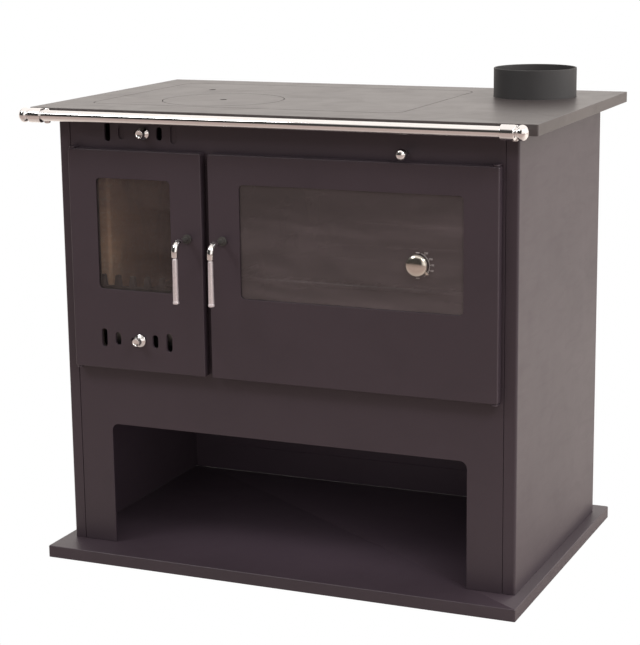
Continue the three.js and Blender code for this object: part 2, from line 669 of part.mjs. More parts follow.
// Strip below the fire door's opening, which runs down on both sides of the wood store.
function lowerFrontPanel() {
  const half = STORE_WIDTH / 2;
  const store = roundedRect(-half, half, BODY_FOOT - 2 * STORE_CORNER, STORE_OPENING_TOP, STORE_CORNER);
  const strip = frontStrip(-FLANGE_LAP, FLANGE_LAP, BODY_FOOT, FIRE_BOTTOM);
  return mesh("lower_front_panel", cut(strip, prismY(store, BODY_FRONT - 1, BEHIND_JOGGLE)), castingPaint);
}

const doorPost = (name, x0, x1) =>
  mesh(name, frontStrip(x0, x1, FIRE_BOTTOM + FIT, OPENING_TOP - FIT), castingPaint);

// Post between the doors and sill under the oven's opening, cut from one sheet, with the
// cleaning opening of the smoke channel.
function ovenFrame() {
  const left = OVEN_LEFT + SOOT_LEFT;
  const middle = OVEN_BOTTOM - SOOT_DROP;
  const half = SOOT_HEIGHT / 2;
  const soot = roundedRect(left, left + SOOT_WIDTH, middle - half, middle + half, OPENING_CORNER);
  const foot = FIRE_BOTTOM + FIT;
  const post = frontStrip(FIRE_RIGHT, OVEN_LEFT, foot, OPENING_TOP - FIT);
  const sill = frontStrip(FIRE_RIGHT, OVEN_RIGHT - FIT, foot, OVEN_BOTTOM);
  return mesh("oven_frame", cut(join(post, sill), prismY(soot, BODY_FRONT - 1, BEHIND_JOGGLE)), castingPaint);
}

// Back panel inside the rear flanges, with a raised field that stiffens it.
function backPanel() {
  const y1 = BODY_BACK - SHEET - FIT;
  const y0 = y1 - SHEET;
  const left = BACK_FIELD_MARGIN - BODY_HALF;
  const ring = (inset, y) =>
    ringPoints(
      left + inset,
      -left - inset,
      BODY_FOOT + BACK_FIELD_MARGIN + inset,
      BODY_TOP - BACK_FIELD_MARGIN - inset,
      12,
    ).map(([x, z]) => [x, y, z]);
  const field = loft([ring(0, y0 + SHEET / 2), ring(0, y1), ring(BACK_FIELD_RAISE, y1 + BACK_FIELD_RAISE)]);
  const dish = loft([ring(SHEET, y0 - 1), ring(SHEET, y0), ring(SHEET + BACK_FIELD_RAISE, y0 + BACK_FIELD_RAISE)]);
  const sheet = block(-FLANGE_LAP, FLANGE_LAP, y0, y1, BODY_FOOT, BODY_TOP);
  return mesh("back_panel", cut(join(sheet, field), dish), castingPaint);
}

// Horizontal sheet across the casing, with its side edges folded down.
function shelf(name, top, material) {
  const outer = BODY_HALF - SHEET - FIT;
  const inner = outer - SMOKE_SHEET;
  const profile = [
    [-outer, top - SHELF_LIP],
    [-inner, top - SHELF_LIP],
    [-inner, top - SMOKE_SHEET],
    [inner, top - SMOKE_SHEET],
    [inner, top - SHELF_LIP],
    [outer, top - SHELF_LIP],
    [outer, top],
    [-outer, top],
  ];
  return mesh(name, prismY(outline(profile), BEHIND_JOGGLE, BACK_INNER), material);
}

// ---------------------------------------------------------------- hob

// Hob plate with a turned-down skirt, a rib that stands on the casing, the seat of the
// insert and the hole of the flue collar.
function hobPlate() {
  const ring = (inset, z) =>
    ringPoints(inset - HOB_HALF, HOB_HALF - inset, HOB_FRONT + inset, HOB_BACK - inset, HOB_CORNER).map(
      ([x, y]) => [x, y, z],
    );
  const outer = loft([ring(0.6, HOB_UNDERSIDE), ring(0, HOB_UNDERSIDE + 1), ring(0, STOVE_HEIGHT - 1), ring(1, STOVE_HEIGHT)]);
  const hollow = block(
    HOB_SKIRT - HOB_HALF,
    HOB_HALF - HOB_SKIRT,
    HOB_FRONT + HOB_SKIRT,
    HOB_BACK - HOB_SKIRT,
    HOB_UNDERSIDE - 1,
    PLATE_UNDERSIDE,
  );
  const seatTop = PLATE_UNDERSIDE + HOB_PLATE / 2;
  const seat = cut(
    block(-BODY_HALF, BODY_HALF, BODY_FRONT, BODY_BACK, HOB_UNDERSIDE, seatTop),
    block(
      SEAT_RIB - BODY_HALF,
      BODY_HALF - SEAT_RIB,
      BODY_FRONT + SEAT_RIB,
      BODY_BACK - SEAT_RIB,
      HOB_UNDERSIDE - 1,
      PLATE_UNDERSIDE,
    ),
  );
  const insertOutline = (grow) =>
    roundedRect(
      INSERT_LEFT - grow,
      INSERT_LEFT + INSERT_WIDTH + grow,
      INSERT_FRONT - grow,
      INSERT_FRONT + INSERT_DEPTH + grow,
      INSERT_CORNER + grow,
    );
  const ledge = prismZ(insertOutline(INSERT_SEAM + LEDGE_WIDTH), LEDGE_BOTTOM, seatTop);
  const seatHole = prismZ(insertOutline(INSERT_SEAM), PLATE_UNDERSIDE, STOVE_HEIGHT + 1);
  const window = prismZ(insertOutline(-LEDGE_WIDTH), LEDGE_BOTTOM - 1, STOVE_HEIGHT);
  const flueHole = bar([FLUE_X, FLUE_Y, HOB_UNDERSIDE], [FLUE_X, FLUE_Y, STOVE_HEIGHT + 1], FLUE_OUTER + FIT, 40);
  return mesh("hob_plate", cut(join(cut(outer, hollow), seat, ledge), seatHole, window, flueHole), hobPaint);
}

const liftHole = (x, y) =>
  bar([x, y, STOVE_HEIGHT - LIFT_HOLE_DEPTH], [x, y, STOVE_HEIGHT + 1], LIFT_HOLE_RADIUS, 16);

// Removable cooking plate, with a round seat for the lid.
function hobInsert() {
  const bottom = PLATE_UNDERSIDE + FIT;
  const plate = prismZ(
    roundedRect(
      INSERT_LEFT,
      INSERT_LEFT + INSERT_WIDTH,
      INSERT_FRONT,
      INSERT_FRONT + INSERT_DEPTH,
      INSERT_CORNER,
    ),
    bottom,
    STOVE_HEIGHT,
  );
  const rim = LID_RADIUS + INSERT_SEAM;
  const inner = LID_RADIUS - LID_LEDGE;
  const outer = rim + LID_SEAT_WALL;
  const overlap = bottom + HOB_PLATE / 2;
  const seat = turnedZ(
    [
      [inner, LEDGE_BOTTOM],
      [outer, LEDGE_BOTTOM],
      [outer, overlap],
      [inner, overlap],
    ],
    LID_X,
    LID_Y,
    48,
  );
  const above = STOVE_HEIGHT + 1;
  const through = bar([LID_X, LID_Y, LEDGE_BOTTOM - 1], [LID_X, LID_Y, above], inner, 48);
  const recess = bar([LID_X, LID_Y, PLATE_UNDERSIDE], [LID_X, LID_Y, above], rim, 48);
  const lift = liftHole(INSERT_LEFT + INSERT_HOLE_FROM_LEFT, INSERT_FRONT + INSERT_HOLE_FROM_FRONT);
  return mesh("hob_insert", cut(join(plate, seat), through, recess, lift), hobPaint);
}

function hobLid() {
  const bottom = PLATE_UNDERSIDE + FIT;
  const plate = turnedZ(
    [
      [0, bottom],
      [LID_RADIUS, bottom],
      [LID_RADIUS, STOVE_HEIGHT - 0.6],
      [LID_RADIUS - 0.6, STOVE_HEIGHT],
      [0, STOVE_HEIGHT],
    ],
    LID_X,
    LID_Y,
    48,
  );
  return mesh("hob_lid", cut(plate, liftHole(LID_X, LID_Y)), hobPaint);
}

// Collar for the stove pipe, with a flange under the hob plate.
function flueCollar() {
  const top = STOVE_HEIGHT + FLUE_HEIGHT;
  const flangeTop = PLATE_UNDERSIDE - FIT;
  const profile = [
    [FLUE_BORE_RADIUS, flangeTop - FLUE_WALL],
    [FLUE_OUTER + FLUE_FLANGE, flangeTop - FLUE_WALL],
    [FLUE_OUTER + FLUE_FLANGE, flangeTop],
    [FLUE_OUTER, flangeTop],
    [FLUE_OUTER, top - 0.8],
    [FLUE_OUTER - 0.8, top],
    [FLUE_BORE_RADIUS + 0.8, top],
    [FLUE_BORE_RADIUS, top - 0.8],
  ];
  return mesh("flue_collar", turnedZ(profile, FLUE_X, FLUE_Y, 32), fluePaint);
}

// Sheet duct under the collar. Its front wall holds the damper's port, and its long arm
// closes the way from the oven's roof to the back channel.
function flueBox() {
  const armFront = BEHIND_PANEL + OVEN_DEPTH - SMOKE_SHEET;
  const start = SHELL_RIGHT + FIREBOX_WALL + FIT;
  const t = SMOKE_SHEET;
  const profile = [
    [start, armFront],
    [FLUE_BOX_LEFT, armFront],
    [FLUE_BOX_LEFT, FLUE_BOX_FRONT],
    [FLUE_BOX_RIGHT, FLUE_BOX_FRONT],
    [FLUE_BOX_RIGHT, FLUE_BOX_BACK],
    [FLUE_BOX_RIGHT - t, FLUE_BOX_BACK],
    [FLUE_BOX_RIGHT - t, FLUE_BOX_FRONT + t],
    [FLUE_BOX_LEFT + t, FLUE_BOX_FRONT + t],
    [FLUE_BOX_LEFT + t, armFront + t],
    [start, armFront + t],
  ];
  const walls = prismZ(outline(profile), OVEN_TOP + FIT, LEDGE_BOTTOM - FIT);
  const half = DAMPER_PORT_WIDTH / 2;
  const rise = DAMPER_PORT_HEIGHT / 2;
  const port = block(
    DAMPER_X - half,
    DAMPER_X + half,
    FLUE_BOX_FRONT - 1,
    FLUE_BOX_FRONT + t + 1,
    DAMPER_HEIGHT - rise,
    DAMPER_HEIGHT + rise,
  );
  return mesh("flue_box", cut(walls, port), innerSteel);
}

// ---------------------------------------------------------------- damper

const DAMPER_PLATE_BACK = FLUE_BOX_FRONT - FIT;

// The plate is welded to the rod. Pulling the ball opens the port.
function damper() {
  const ballY = BODY_FRONT - DAMPER_BALL_OUT;
  const seat = DAMPER_BALL_RADIUS - 3;
  const ball = solid(new THREE.SphereGeometry(DAMPER_BALL_RADIUS, 16, 10).translate(DAMPER_X, ballY, DAMPER_HEIGHT));
  const socket = bar(
    [DAMPER_X, ballY + DAMPER_BALL_RADIUS - seat, DAMPER_HEIGHT],
    [DAMPER_X, ballY + 2 * DAMPER_BALL_RADIUS, DAMPER_HEIGHT],
    DAMPER_ROD_RADIUS + FIT,
  );
  const rod = bar(
    [DAMPER_X, ballY + DAMPER_BALL_RADIUS - seat + FIT, DAMPER_HEIGHT],
    [DAMPER_X, DAMPER_PLATE_BACK - DAMPER_PLATE / 2, DAMPER_HEIGHT],
    DAMPER_ROD_RADIUS,
  );
  const half = DAMPER_PORT_WIDTH / 2 + DAMPER_PLATE_LAP;
  const rise = DAMPER_PORT_HEIGHT / 2 + DAMPER_PLATE_LAP;
  const plate = prismY(
    roundedRect(DAMPER_X - half, DAMPER_X + half, DAMPER_HEIGHT - rise, DAMPER_HEIGHT + rise, 6),
    DAMPER_PLATE_BACK - DAMPER_PLATE,
    DAMPER_PLATE_BACK,
  );
  return [
    mesh("damper_ball", cut(ball, socket), chrome),
    mesh("damper_rod", join(rod, plate), zincSteel),
  ];
}

// Upright on the oven's roof that steadies the damper rod.
function damperRodGuide() {
  const y = BODY_FRONT + ROD_GUIDE_DEPTH;
  const half = ROD_GUIDE_WIDTH / 2;
  const foot = OVEN_TOP + FIT;
  const upright = prismY(
    roundedRect(DAMPER_X - half, DAMPER_X + half, foot - half, DAMPER_HEIGHT + half, half - 1),
    y,
    y + SHEET,
  );
  const below = block(DAMPER_X - ROD_GUIDE_WIDTH, DAMPER_X + ROD_GUIDE_WIDTH, y - 1, y + 2 * SHEET, foot - ROD_GUIDE_WIDTH, foot);
  const base = block(DAMPER_X - half, DAMPER_X + half, y, y + ROD_GUIDE_WIDTH, foot, foot + SHEET);
  const hole = bar([DAMPER_X, y - 1, DAMPER_HEIGHT], [DAMPER_X, y + SHEET + 1, DAMPER_HEIGHT], DAMPER_ROD_RADIUS + FIT);
  return mesh("damper_rod_guide", cut(join(cut(upright, below), base), hole), innerSteel);
}

// ---------------------------------------------------------------- hob rail

const RAIL_BALL_MIDDLE = HOB_HALF - RAIL_END_INSET - RAIL_BALL_LENGTH / 2;
const RAIL_COLLAR_END = RAIL_BALL_MIDDLE - RAIL_BALL_LENGTH / 2 + 1.5; // where collar turns into neck
const RAIL_COLLAR_START = RAIL_COLLAR_END - RAIL_COLLAR_LENGTH;

function railTube() {
  const end = RAIL_COLLAR_START + RAIL_SOCKET - FIT;
  return mesh("rail_tube", bar([-end, RAIL_Y, RAIL_Z], [end, RAIL_Y, RAIL_Z], RAIL_RADIUS, 24), chrome);
}

// Collar, neck and ball turned from one piece, with a socket for the tube.
function railEnd(name, side) {
  const ballStart = Math.asin(RAIL_NECK_RADIUS / RAIL_BALL_RADIUS);
  const steps = 6;
  const ballArc = Array.from({ length: steps + 1 }, (_, k) => {
    const angle = (Math.PI - ballStart) * (1 - k / steps);
    return [RAIL_BALL_RADIUS * Math.sin(angle), RAIL_BALL_MIDDLE + (RAIL_BALL_LENGTH / 2) * Math.cos(angle)];
  });
  ballArc[ballArc.length - 1][0] = 0;
  const profile = [
    [RAIL_RADIUS + FIT, RAIL_COLLAR_START],
    [RAIL_COLLAR_RADIUS - 0.8, RAIL_COLLAR_START],
    [RAIL_COLLAR_RADIUS, RAIL_COLLAR_START + 0.8],
    [RAIL_COLLAR_RADIUS, RAIL_COLLAR_END - 3.5],
    [RAIL_COLLAR_RADIUS - 1, RAIL_COLLAR_END - 2],
    [RAIL_NECK_RADIUS, RAIL_COLLAR_END],
    ...ballArc,
    [0, RAIL_COLLAR_START + RAIL_SOCKET],
    [RAIL_RADIUS + FIT, RAIL_COLLAR_START + RAIL_SOCKET],
  ];
  const end = turned(profile, 18).rotateY((side * Math.PI) / 2).translate(0, RAIL_Y, RAIL_Z);
  return mesh(name, solid(end), chrome);
}

// Plate on the hob's front edge with a stud that carries the rail's collar.
function railBracket(name, side) {
  const x = side * (RAIL_COLLAR_START + BRACKET_SETBACK);
  const half = BRACKET_WIDTH / 2;
  const back = HOB_FRONT - FIT;
  const plate = prismY(
    roundedRect(x - half, x + half, HOB_UNDERSIDE - BRACKET_DROP, STOVE_HEIGHT - 1, 3),
    back - BRACKET_THICKNESS,
    back,
  );
  const tip = RAIL_Y + RAIL_COLLAR_RADIUS + FIT;
  const stud = bar([x, back - BRACKET_THICKNESS / 2, RAIL_Z], [x, tip, RAIL_Z], BRACKET_STUD_RADIUS, 16);
  return mesh(name, join(plate, stud), chrome);
}

// ---------------------------------------------------------------- air registers

// A slider lies behind its sheet, between the guides. Its holes stand before the slots, or
// beside them, until the knob moves it along.
function airSlider(name, middle, height, sheetBack, holes) {
  const margin = SLOT_OUTER + SLOT_WIDTH / 2 + SLIDER_MARGIN;
  const half = SLOT_TALL / 2 + SLIDER_MARGIN;
  const front = sheetBack + FIT;
  const back = front + SLIDER_SHEET;
  const plate = block(middle - margin, middle + margin + AIR_TRAVEL, front, back, height - half, height + half);
  const cuts = holes.map(([x, width, tall]) => {
    const left = middle + x - width / 2;
    const shape = roundedRect(left, left + width, height - tall / 2, height + tall / 2, SLOT_WIDTH / 2 - 0.01);
    return prismY(shape, front - 1, back + 1, 1);
  });
  return mesh(name, cut(plate, ...cuts), zincSteel);
}

// Turned knob with a broad foot, a waist and a dished face. Its stem goes through the sheet.
function airKnob(name, x, height, sheetFront, sheetBack) {
  const foot = -sheetFront + 2 * FIT;
  const tip = -sheetFront + KNOB_LENGTH;
  const waist = KNOB_FACE_RADIUS - 1;
  const profile = [
    [0, -sheetBack],
    [KNOB_STEM_RADIUS, -sheetBack],
    [KNOB_STEM_RADIUS, foot],
    [KNOB_BASE_RADIUS, foot],
    [KNOB_BASE_RADIUS, foot + 2.5],
    [KNOB_BASE_RADIUS - 1, foot + 3.5],
    [waist + 0.6, foot + 6.5],
    [waist, foot + 10],
    [waist + 0.4, tip - 5],
    [KNOB_FACE_RADIUS, tip - 3],
    [KNOB_FACE_RADIUS, tip - 1],
    [KNOB_FACE_RADIUS - 1, tip],
    [KNOB_FACE_RADIUS - 2, tip - 0.8],
    [0, tip - 1.4],
  ];
  return mesh(name, turnedForward(profile, x, height, 16), satinChrome);
}

// Upper register, as photographed: the first and third slots open, the others covered.
function upperAir() {
  const back = BODY_FRONT + SHEET;
  const wide = SLOT_WIDTH + AIR_TRAVEL;
  const holes = [
    [-SLOT_OUTER + AIR_TRAVEL / 2, wide, SLOT_TALL],
    [-SLOT_INNER + AIR_TRAVEL, SLOT_WIDTH, SLOT_SHORT],
    [SLOT_INNER + AIR_TRAVEL / 2, wide, SLOT_SHORT],
    [SLOT_OUTER + AIR_TRAVEL, SLOT_WIDTH, SLOT_TALL],
  ];
  return [
    airSlider("upper_air_slider", UPPER_AIR_X, UPPER_AIR_HEIGHT, back, holes),
    airKnob("upper_air_knob", UPPER_AIR_X + KNOB_OFFSET, UPPER_AIR_HEIGHT, BODY_FRONT, back),
  ];
}

// Lower register in the firebox door, open at rest. It is in the door's own coordinates.
function lowerAir() {
  const middle = FIREBOX_DOOR_WIDTH / 2 + LOWER_AIR_SHIFT;
  const holes = [
    [-SLOT_OUTER, SLOT_WIDTH, SLOT_TALL],
    [-SLOT_INNER, SLOT_WIDTH, SLOT_SHORT],
    [SLOT_INNER, SLOT_WIDTH, SLOT_SHORT],
    [SLOT_OUTER, SLOT_WIDTH, SLOT_TALL],
  ];
  return [
    airSlider("lower_air_slider", middle, LOWER_AIR_RISE, DOOR_SHEET, holes),
    airKnob("lower_air_knob", middle + KNOB_OFFSET, LOWER_AIR_RISE, 0, DOOR_SHEET),
  ];
}

// ---------------------------------------------------------------- doors

// Each door is built in its own coordinates: x from its left edge, y behind its face and
// z above its lower edge.
const fireboxDoor = {
  name: "firebox",
  width: FIREBOX_DOOR_WIDTH,
  hingeX: HINGE_INSET,
  handleX: FIREBOX_DOOR_WIDTH - HANDLE_INSET,
  inward: -1, // from the handle towards the hinge
  windowLeft: FIREBOX_WINDOW_LEFT,
  windowWidth: FIREBOX_WINDOW_WIDTH,
  opening: [FIREBOX_LAP, FIREBOX_DOOR_WIDTH - FIREBOX_LAP, FIREBOX_BOTTOM_LAP],
  handleLap: FIREBOX_LAP,
};
const ovenDoor = {
  name: "oven",
  width: OVEN_DOOR_WIDTH,
  hingeX: OVEN_DOOR_WIDTH - HINGE_INSET,
  handleX: HANDLE_INSET,
  inward: 1,
  windowLeft: OVEN_WINDOW_LEFT,
  windowWidth: OVEN_WINDOW_WIDTH,
  opening: [OVEN_HANDLE_LAP, OVEN_DOOR_WIDTH - OVEN_HINGE_LAP, OVEN_OPENING_RISE],
  handleLap: OVEN_HANDLE_LAP,
};

const windowOutline = (door, grow) =>
  roundedRect(
    door.windowLeft - grow,
    door.windowLeft + door.windowWidth + grow,
    WINDOW_BOTTOM - grow,
    WINDOW_BOTTOM + WINDOW_HEIGHT + grow,
    WINDOW_CORNER,
  );

const spindleHole = (door) =>
  bar([door.handleX, -1, HANDLE_RISE], [door.handleX, DOOR_DEPTH, HANDLE_RISE], SPINDLE_RADIUS + SPINDLE_CLEARANCE, 16);

const pinHoles = (door, radius) =>
  bar([door.hingeX, HINGE_DEPTH, -1], [door.hingeX, HINGE_DEPTH, PIN_LENGTH + 1], radius, 16).add(
    bar(
      [door.hingeX, HINGE_DEPTH, DOOR_HEIGHT - PIN_LENGTH - 1],
      [door.hingeX, HINGE_DEPTH, DOOR_HEIGHT + 1],
      radius,
      16,
    ),
  );

// Pressed door shell, open at the back, with a small bevel round its face.
function doorPanel(door) {
  const ring = (inset, y) =>
    ringPoints(inset, door.width - inset, inset, DOOR_HEIGHT - inset, DOOR_CORNER).map(([x, z]) => [x, y, z]);
  const shell = loft([ring(DOOR_BEVEL, 0), ring(0, DOOR_BEVEL), ring(0, DOOR_DEPTH)]);
  const hollow = block(
    DOOR_SHEET,
    door.width - DOOR_SHEET,
    DOOR_SHEET,
    DOOR_DEPTH + 1,
    DOOR_SHEET,
    DOOR_HEIGHT - DOOR_SHEET,
  );
  const window = prismY(windowOutline(door, 0), -1, DOOR_SHEET + 1);
  const pins = pinHoles(door, PIN_RADIUS + PIN_CLEARANCE);
  return cut(shell, hollow, window, pins, spindleHole(door));
}

function fireboxDoorPanel() {
  const middle = FIREBOX_DOOR_WIDTH / 2 + LOWER_AIR_SHIFT;
  const guided = join(doorPanel(fireboxDoor), ...sliderGuides(middle, LOWER_AIR_RISE, DOOR_SHEET));
  const register = airSlots(middle, LOWER_AIR_RISE, -1, DOOR_SHEET + 1);
  return mesh("firebox_door_panel", cut(guided, ...register), castingPaint);
}

// Inner sheet that closes the shell, holds the glass and carries the rope seal.
function doorLiner(door, ...holes) {
  const edge = DOOR_SHEET + FIT;
  const sheet = block(
    edge,
    door.width - edge,
    LINER_FRONT,
    LINER_FRONT + DOOR_LINER,
    edge,
    DOOR_HEIGHT - edge,
  );
  const window = prismY(windowOutline(door, 0), LINER_FRONT - 1, LINER_FRONT + DOOR_LINER + 1);
  const pins = pinHoles(door, PIN_RADIUS + 2 * PIN_CLEARANCE);
  return mesh(`${door.name}_door_liner`, cut(sheet, window, spindleHole(door), pins, ...holes), innerSteel);
}

// Air way through the firebox door's liner, behind the lower register.
function airWay() {
  const middle = FIREBOX_DOOR_WIDTH / 2 + LOWER_AIR_SHIFT;
  const half = SLOT_OUTER + SLOT_WIDTH / 2;
  const rise = SLOT_TALL / 2;
  const shape = roundedRect(
    middle - half,
    middle + half,
    LOWER_AIR_RISE - rise,
    LOWER_AIR_RISE + rise,
    OPENING_CORNER,
  );
  return prismY(shape, LINER_FRONT - 1, LINER_FRONT + DOOR_LINER + 1);
}

function doorGlass(door, ...holes) {
  const pane = prismY(windowOutline(door, GLASS_LAP), GLASS_FRONT, GLASS_FRONT + GLASS_THICKNESS);
  return mesh(`${door.name}_door_glass`, cut(pane, ...holes), stoveGlass);
}

// Rope seal round the door's opening, as one closed ring.
function doorSeal(door) {
  const radius = SEAL_DIAMETER / 2;
  const [left, right, bottom] = door.opening;
  const top = DOOR_HEIGHT - OPENING_TOP_LAP;
  const section = Array.from({ length: 8 }, (_, k) => (2 * Math.PI * k) / 8);
  const middle = ringPoints(
    left - SEAL_OFFSET,
    right + SEAL_OFFSET,
    bottom - SEAL_OFFSET,
    top + SEAL_OFFSET,
    OPENING_CORNER + SEAL_OFFSET,
    4,
  );
  const rings = middle.map(([x, z], k) => {
    const before = middle[(k + middle.length - 1) % middle.length];
    const after = middle[(k + 1) % middle.length];
    const along = new THREE.Vector2(after[0] - before[0], after[1] - before[1]).normalize();
    const turn = new THREE.Vector2(x - before[0], z - before[1]).normalize().dot(along);
    return section.map((angle) => {
      const outward = (radius * Math.cos(angle)) / turn;
      const y = SEAL_FRONT + radius + radius * Math.sin(angle);
      return [x + along.y * outward, y, z - along.x * outward];
    });
  });
  return mesh(`${door.name}_door_gasket`, loft(rings, true), ropeSeal);
}

// Tab on the casing with a pin that stands in the door's upper or lower edge.
function hingeTab(door, left, end) {
  const x = left + door.hingeX;
  const y = DOOR_FACE + HINGE_DEPTH;
  const upper = end === "upper";
  const near = upper ? DOOR_TOP + FIT : DOOR_BOTTOM - FIT;
  const [z0, z1] = upper ? [near, near + HINGE_PLATE] : [near - HINGE_PLATE, near];
  const tip = upper ? near - PIN_LENGTH : near + PIN_LENGTH;
  const shape = new THREE.Shape();
  shape.moveTo(x + HINGE_ROUND, BODY_FRONT - FIT);
  shape.lineTo(x + HINGE_ROUND, y);
  shape.absarc(x, y, HINGE_ROUND, 0, Math.PI, true);
  shape.lineTo(x - HINGE_ROUND, BODY_FRONT - FIT);
  const pin = bar([x, y, (z0 + z1) / 2], [x, y, tip], PIN_RADIUS, 16);
  return mesh(`${door.name}_hinge_${end}`, join(prismZ(shape, z0, z1, 5), pin), castingPaint);
}

// Handle pieces are built round the spindle's axis at x = 0, z = 0, with y behind the face.
// The spindle has its rose on the face and its tongue behind the front panel.
function handleLatch(door) {
  const front = NECK_BEND + NECK_SLEEVE + FIT - HANDLE_STANDOFF;
  const back = TONGUE_FRONT + TONGUE_THICKNESS;
  const spindle = bar([0, front, 0], [0, back, 0], SPINDLE_RADIUS, 16);
  const rose = bar([0, -FIT - ROSE_THICKNESS, 0], [0, -FIT, 0], ROSE_RADIUS, 24);
  const half = TONGUE_HEIGHT / 2;
  const ends = [door.inward * half, -door.inward * (HANDLE_INSET - door.handleLap - TONGUE_CLEARANCE)];
  const shape = roundedRect(Math.min(...ends), Math.max(...ends), -half, half, 2);
  const tongue = prismY(shape, TONGUE_FRONT, back, 2);
  return mesh(`${door.name}_latch`, join(spindle, rose, tongue), castIron);
}

// Chromed elbow from the spindle down to the grip.
function handleElbow(door) {
  const bendY = NECK_BEND - HANDLE_STANDOFF;
  const steps = 5;
  const bend = Array.from({ length: steps + 1 }, (_, k) => {
    const angle = (Math.PI / 2) * (k / steps);
    const [s, c] = [Math.sin(angle), Math.cos(angle)];
    return { y: bendY - NECK_BEND * s, z: NECK_BEND * (c - 1), normal: [-s, c] };
  });
  const path = [
    { y: bendY + NECK_SLEEVE, z: 0, normal: [0, 1] },
    ...bend,
    { y: -HANDLE_STANDOFF, z: -NECK_DROP, normal: [-1, 0] },
  ];
  const sides = 14;
  const rings = path.map(({ y, z, normal }) =>
    Array.from({ length: sides }, (_, k) => {
      const angle = (2 * Math.PI * k) / sides;
      const across = NECK_RADIUS * Math.cos(angle);
      const away = NECK_RADIUS * Math.sin(angle);
      return [across, y + normal[0] * away, z + normal[1] * away];
    }),
  );
  return mesh(`${door.name}_handle`, loft(rings), chrome);
}

function handleGrip(door) {
  const top = -NECK_DROP - FIT;
  const foot = top - GRIP_LENGTH;
  const capTop = foot + GRIP_CAP_LENGTH;
  const profile = [
    [0, top],
    [GRIP_TOP_RADIUS - 0.6, top],
    [GRIP_TOP_RADIUS, top - 1.5],
    [GRIP_FOOT_RADIUS, capTop + 2],
    [GRIP_FOOT_RADIUS, capTop],
    [GRIP_CAP_RADIUS, capTop],
    [GRIP_CAP_RADIUS, foot + 1],
    [GRIP_CAP_RADIUS - 1, foot],
    [0, foot],
  ];
  return mesh(`${door.name}_grip`, turnedZ(profile, 0, -HANDLE_STANDOFF, 14), satinChrome);
}

const handle = (door) =>
  placed(door.handleX, 0, HANDLE_RISE, handleLatch(door), handleElbow(door), handleGrip(door));

// ---------------------------------------------------------------- oven thermometer

const THERMO_X = OVEN_WINDOW_LEFT + OVEN_WINDOW_WIDTH - THERMO_FROM_WINDOW_RIGHT;
const THERMO_Z = WINDOW_BOTTOM + THERMO_RISE;

// Spindle of the thermometer, clamped through the glass.
function thermometerStem() {
  const glassBack = GLASS_FRONT + GLASS_THICKNESS;
  const nutFront = glassBack + FIT;
  const bossFront = THERMO_GAP + THERMO_RIM - GLASS_FRONT;
  const tip = bossFront + THERMO_DOME - THERMO_WALL - 2 * FIT;
  const profile = [
    [0, -glassBack - THERMO_BEHIND],
    [THERMO_STEM_RADIUS - 1, -glassBack - THERMO_BEHIND],
    [THERMO_STEM_RADIUS, -glassBack - THERMO_BEHIND + 1],
    [THERMO_STEM_RADIUS, -nutFront - 3],
    [THERMO_BOSS_RADIUS, -nutFront - 3],
    [THERMO_BOSS_RADIUS, -nutFront],
    [THERMO_STEM_RADIUS, -nutFront],
    [THERMO_STEM_RADIUS, FIT - GLASS_FRONT],
    [THERMO_BOSS_RADIUS, FIT - GLASS_FRONT],
    [THERMO_BOSS_RADIUS, bossFront],
    [THERMO_STEM_RADIUS, bossFront],
    [THERMO_STEM_RADIUS, tip],
    [0, tip],
  ];
  return mesh("thermometer_stem", turnedForward(profile, THERMO_X, THERMO_Z, 16), zincSteel);
}

// Domed cap with the pointer that turns with it.
function thermometerCap() {
  const rim = THERMO_GAP - GLASS_FRONT;
  const shoulder = rim + THERMO_RIM;
  const steps = 4;
  const dome = (radius, base, rise) =>
    Array.from({ length: steps + 1 }, (_, k) => {
      const angle = (Math.PI / 2) * (k / steps);
      return [radius * Math.cos(angle), base + rise * Math.sin(angle)];
    }).map(([r, h], k) => (k === steps ? [0, h] : [r, h]));
  const inside = dome(THERMO_RADIUS - THERMO_WALL, shoulder, THERMO_DOME - THERMO_WALL).reverse();
  const profile = [
    ...inside,
    [THERMO_RADIUS - THERMO_WALL, rim],
    [THERMO_RADIUS, rim],
    ...dome(THERMO_RADIUS, shoulder, THERMO_DOME),
  ];
  const cap = turnedForward(profile, THERMO_X, THERMO_Z, 24);
  const half = POINTER_WIDTH / 2;
  const root = THERMO_RADIUS - THERMO_WALL / 2;
  const arrow = outline([
    [root, -half],
    [POINTER_REACH - half, -half],
    [POINTER_REACH, 0],
    [POINTER_REACH - half, half],
    [root, half],
  ]);
  const pointer = new THREE.ExtrudeGeometry(arrow, { depth: POINTER_SHEET, bevelEnabled: false })
    .rotateZ(THREE.MathUtils.degToRad(POINTER_ANGLE))
    .rotateX(Math.PI / 2)
    .translate(THERMO_X, -rim, THERMO_Z);
  return mesh("thermometer_cap", join(cap, solid(pointer)), chrome);
}

// ---------------------------------------------------------------- firebox

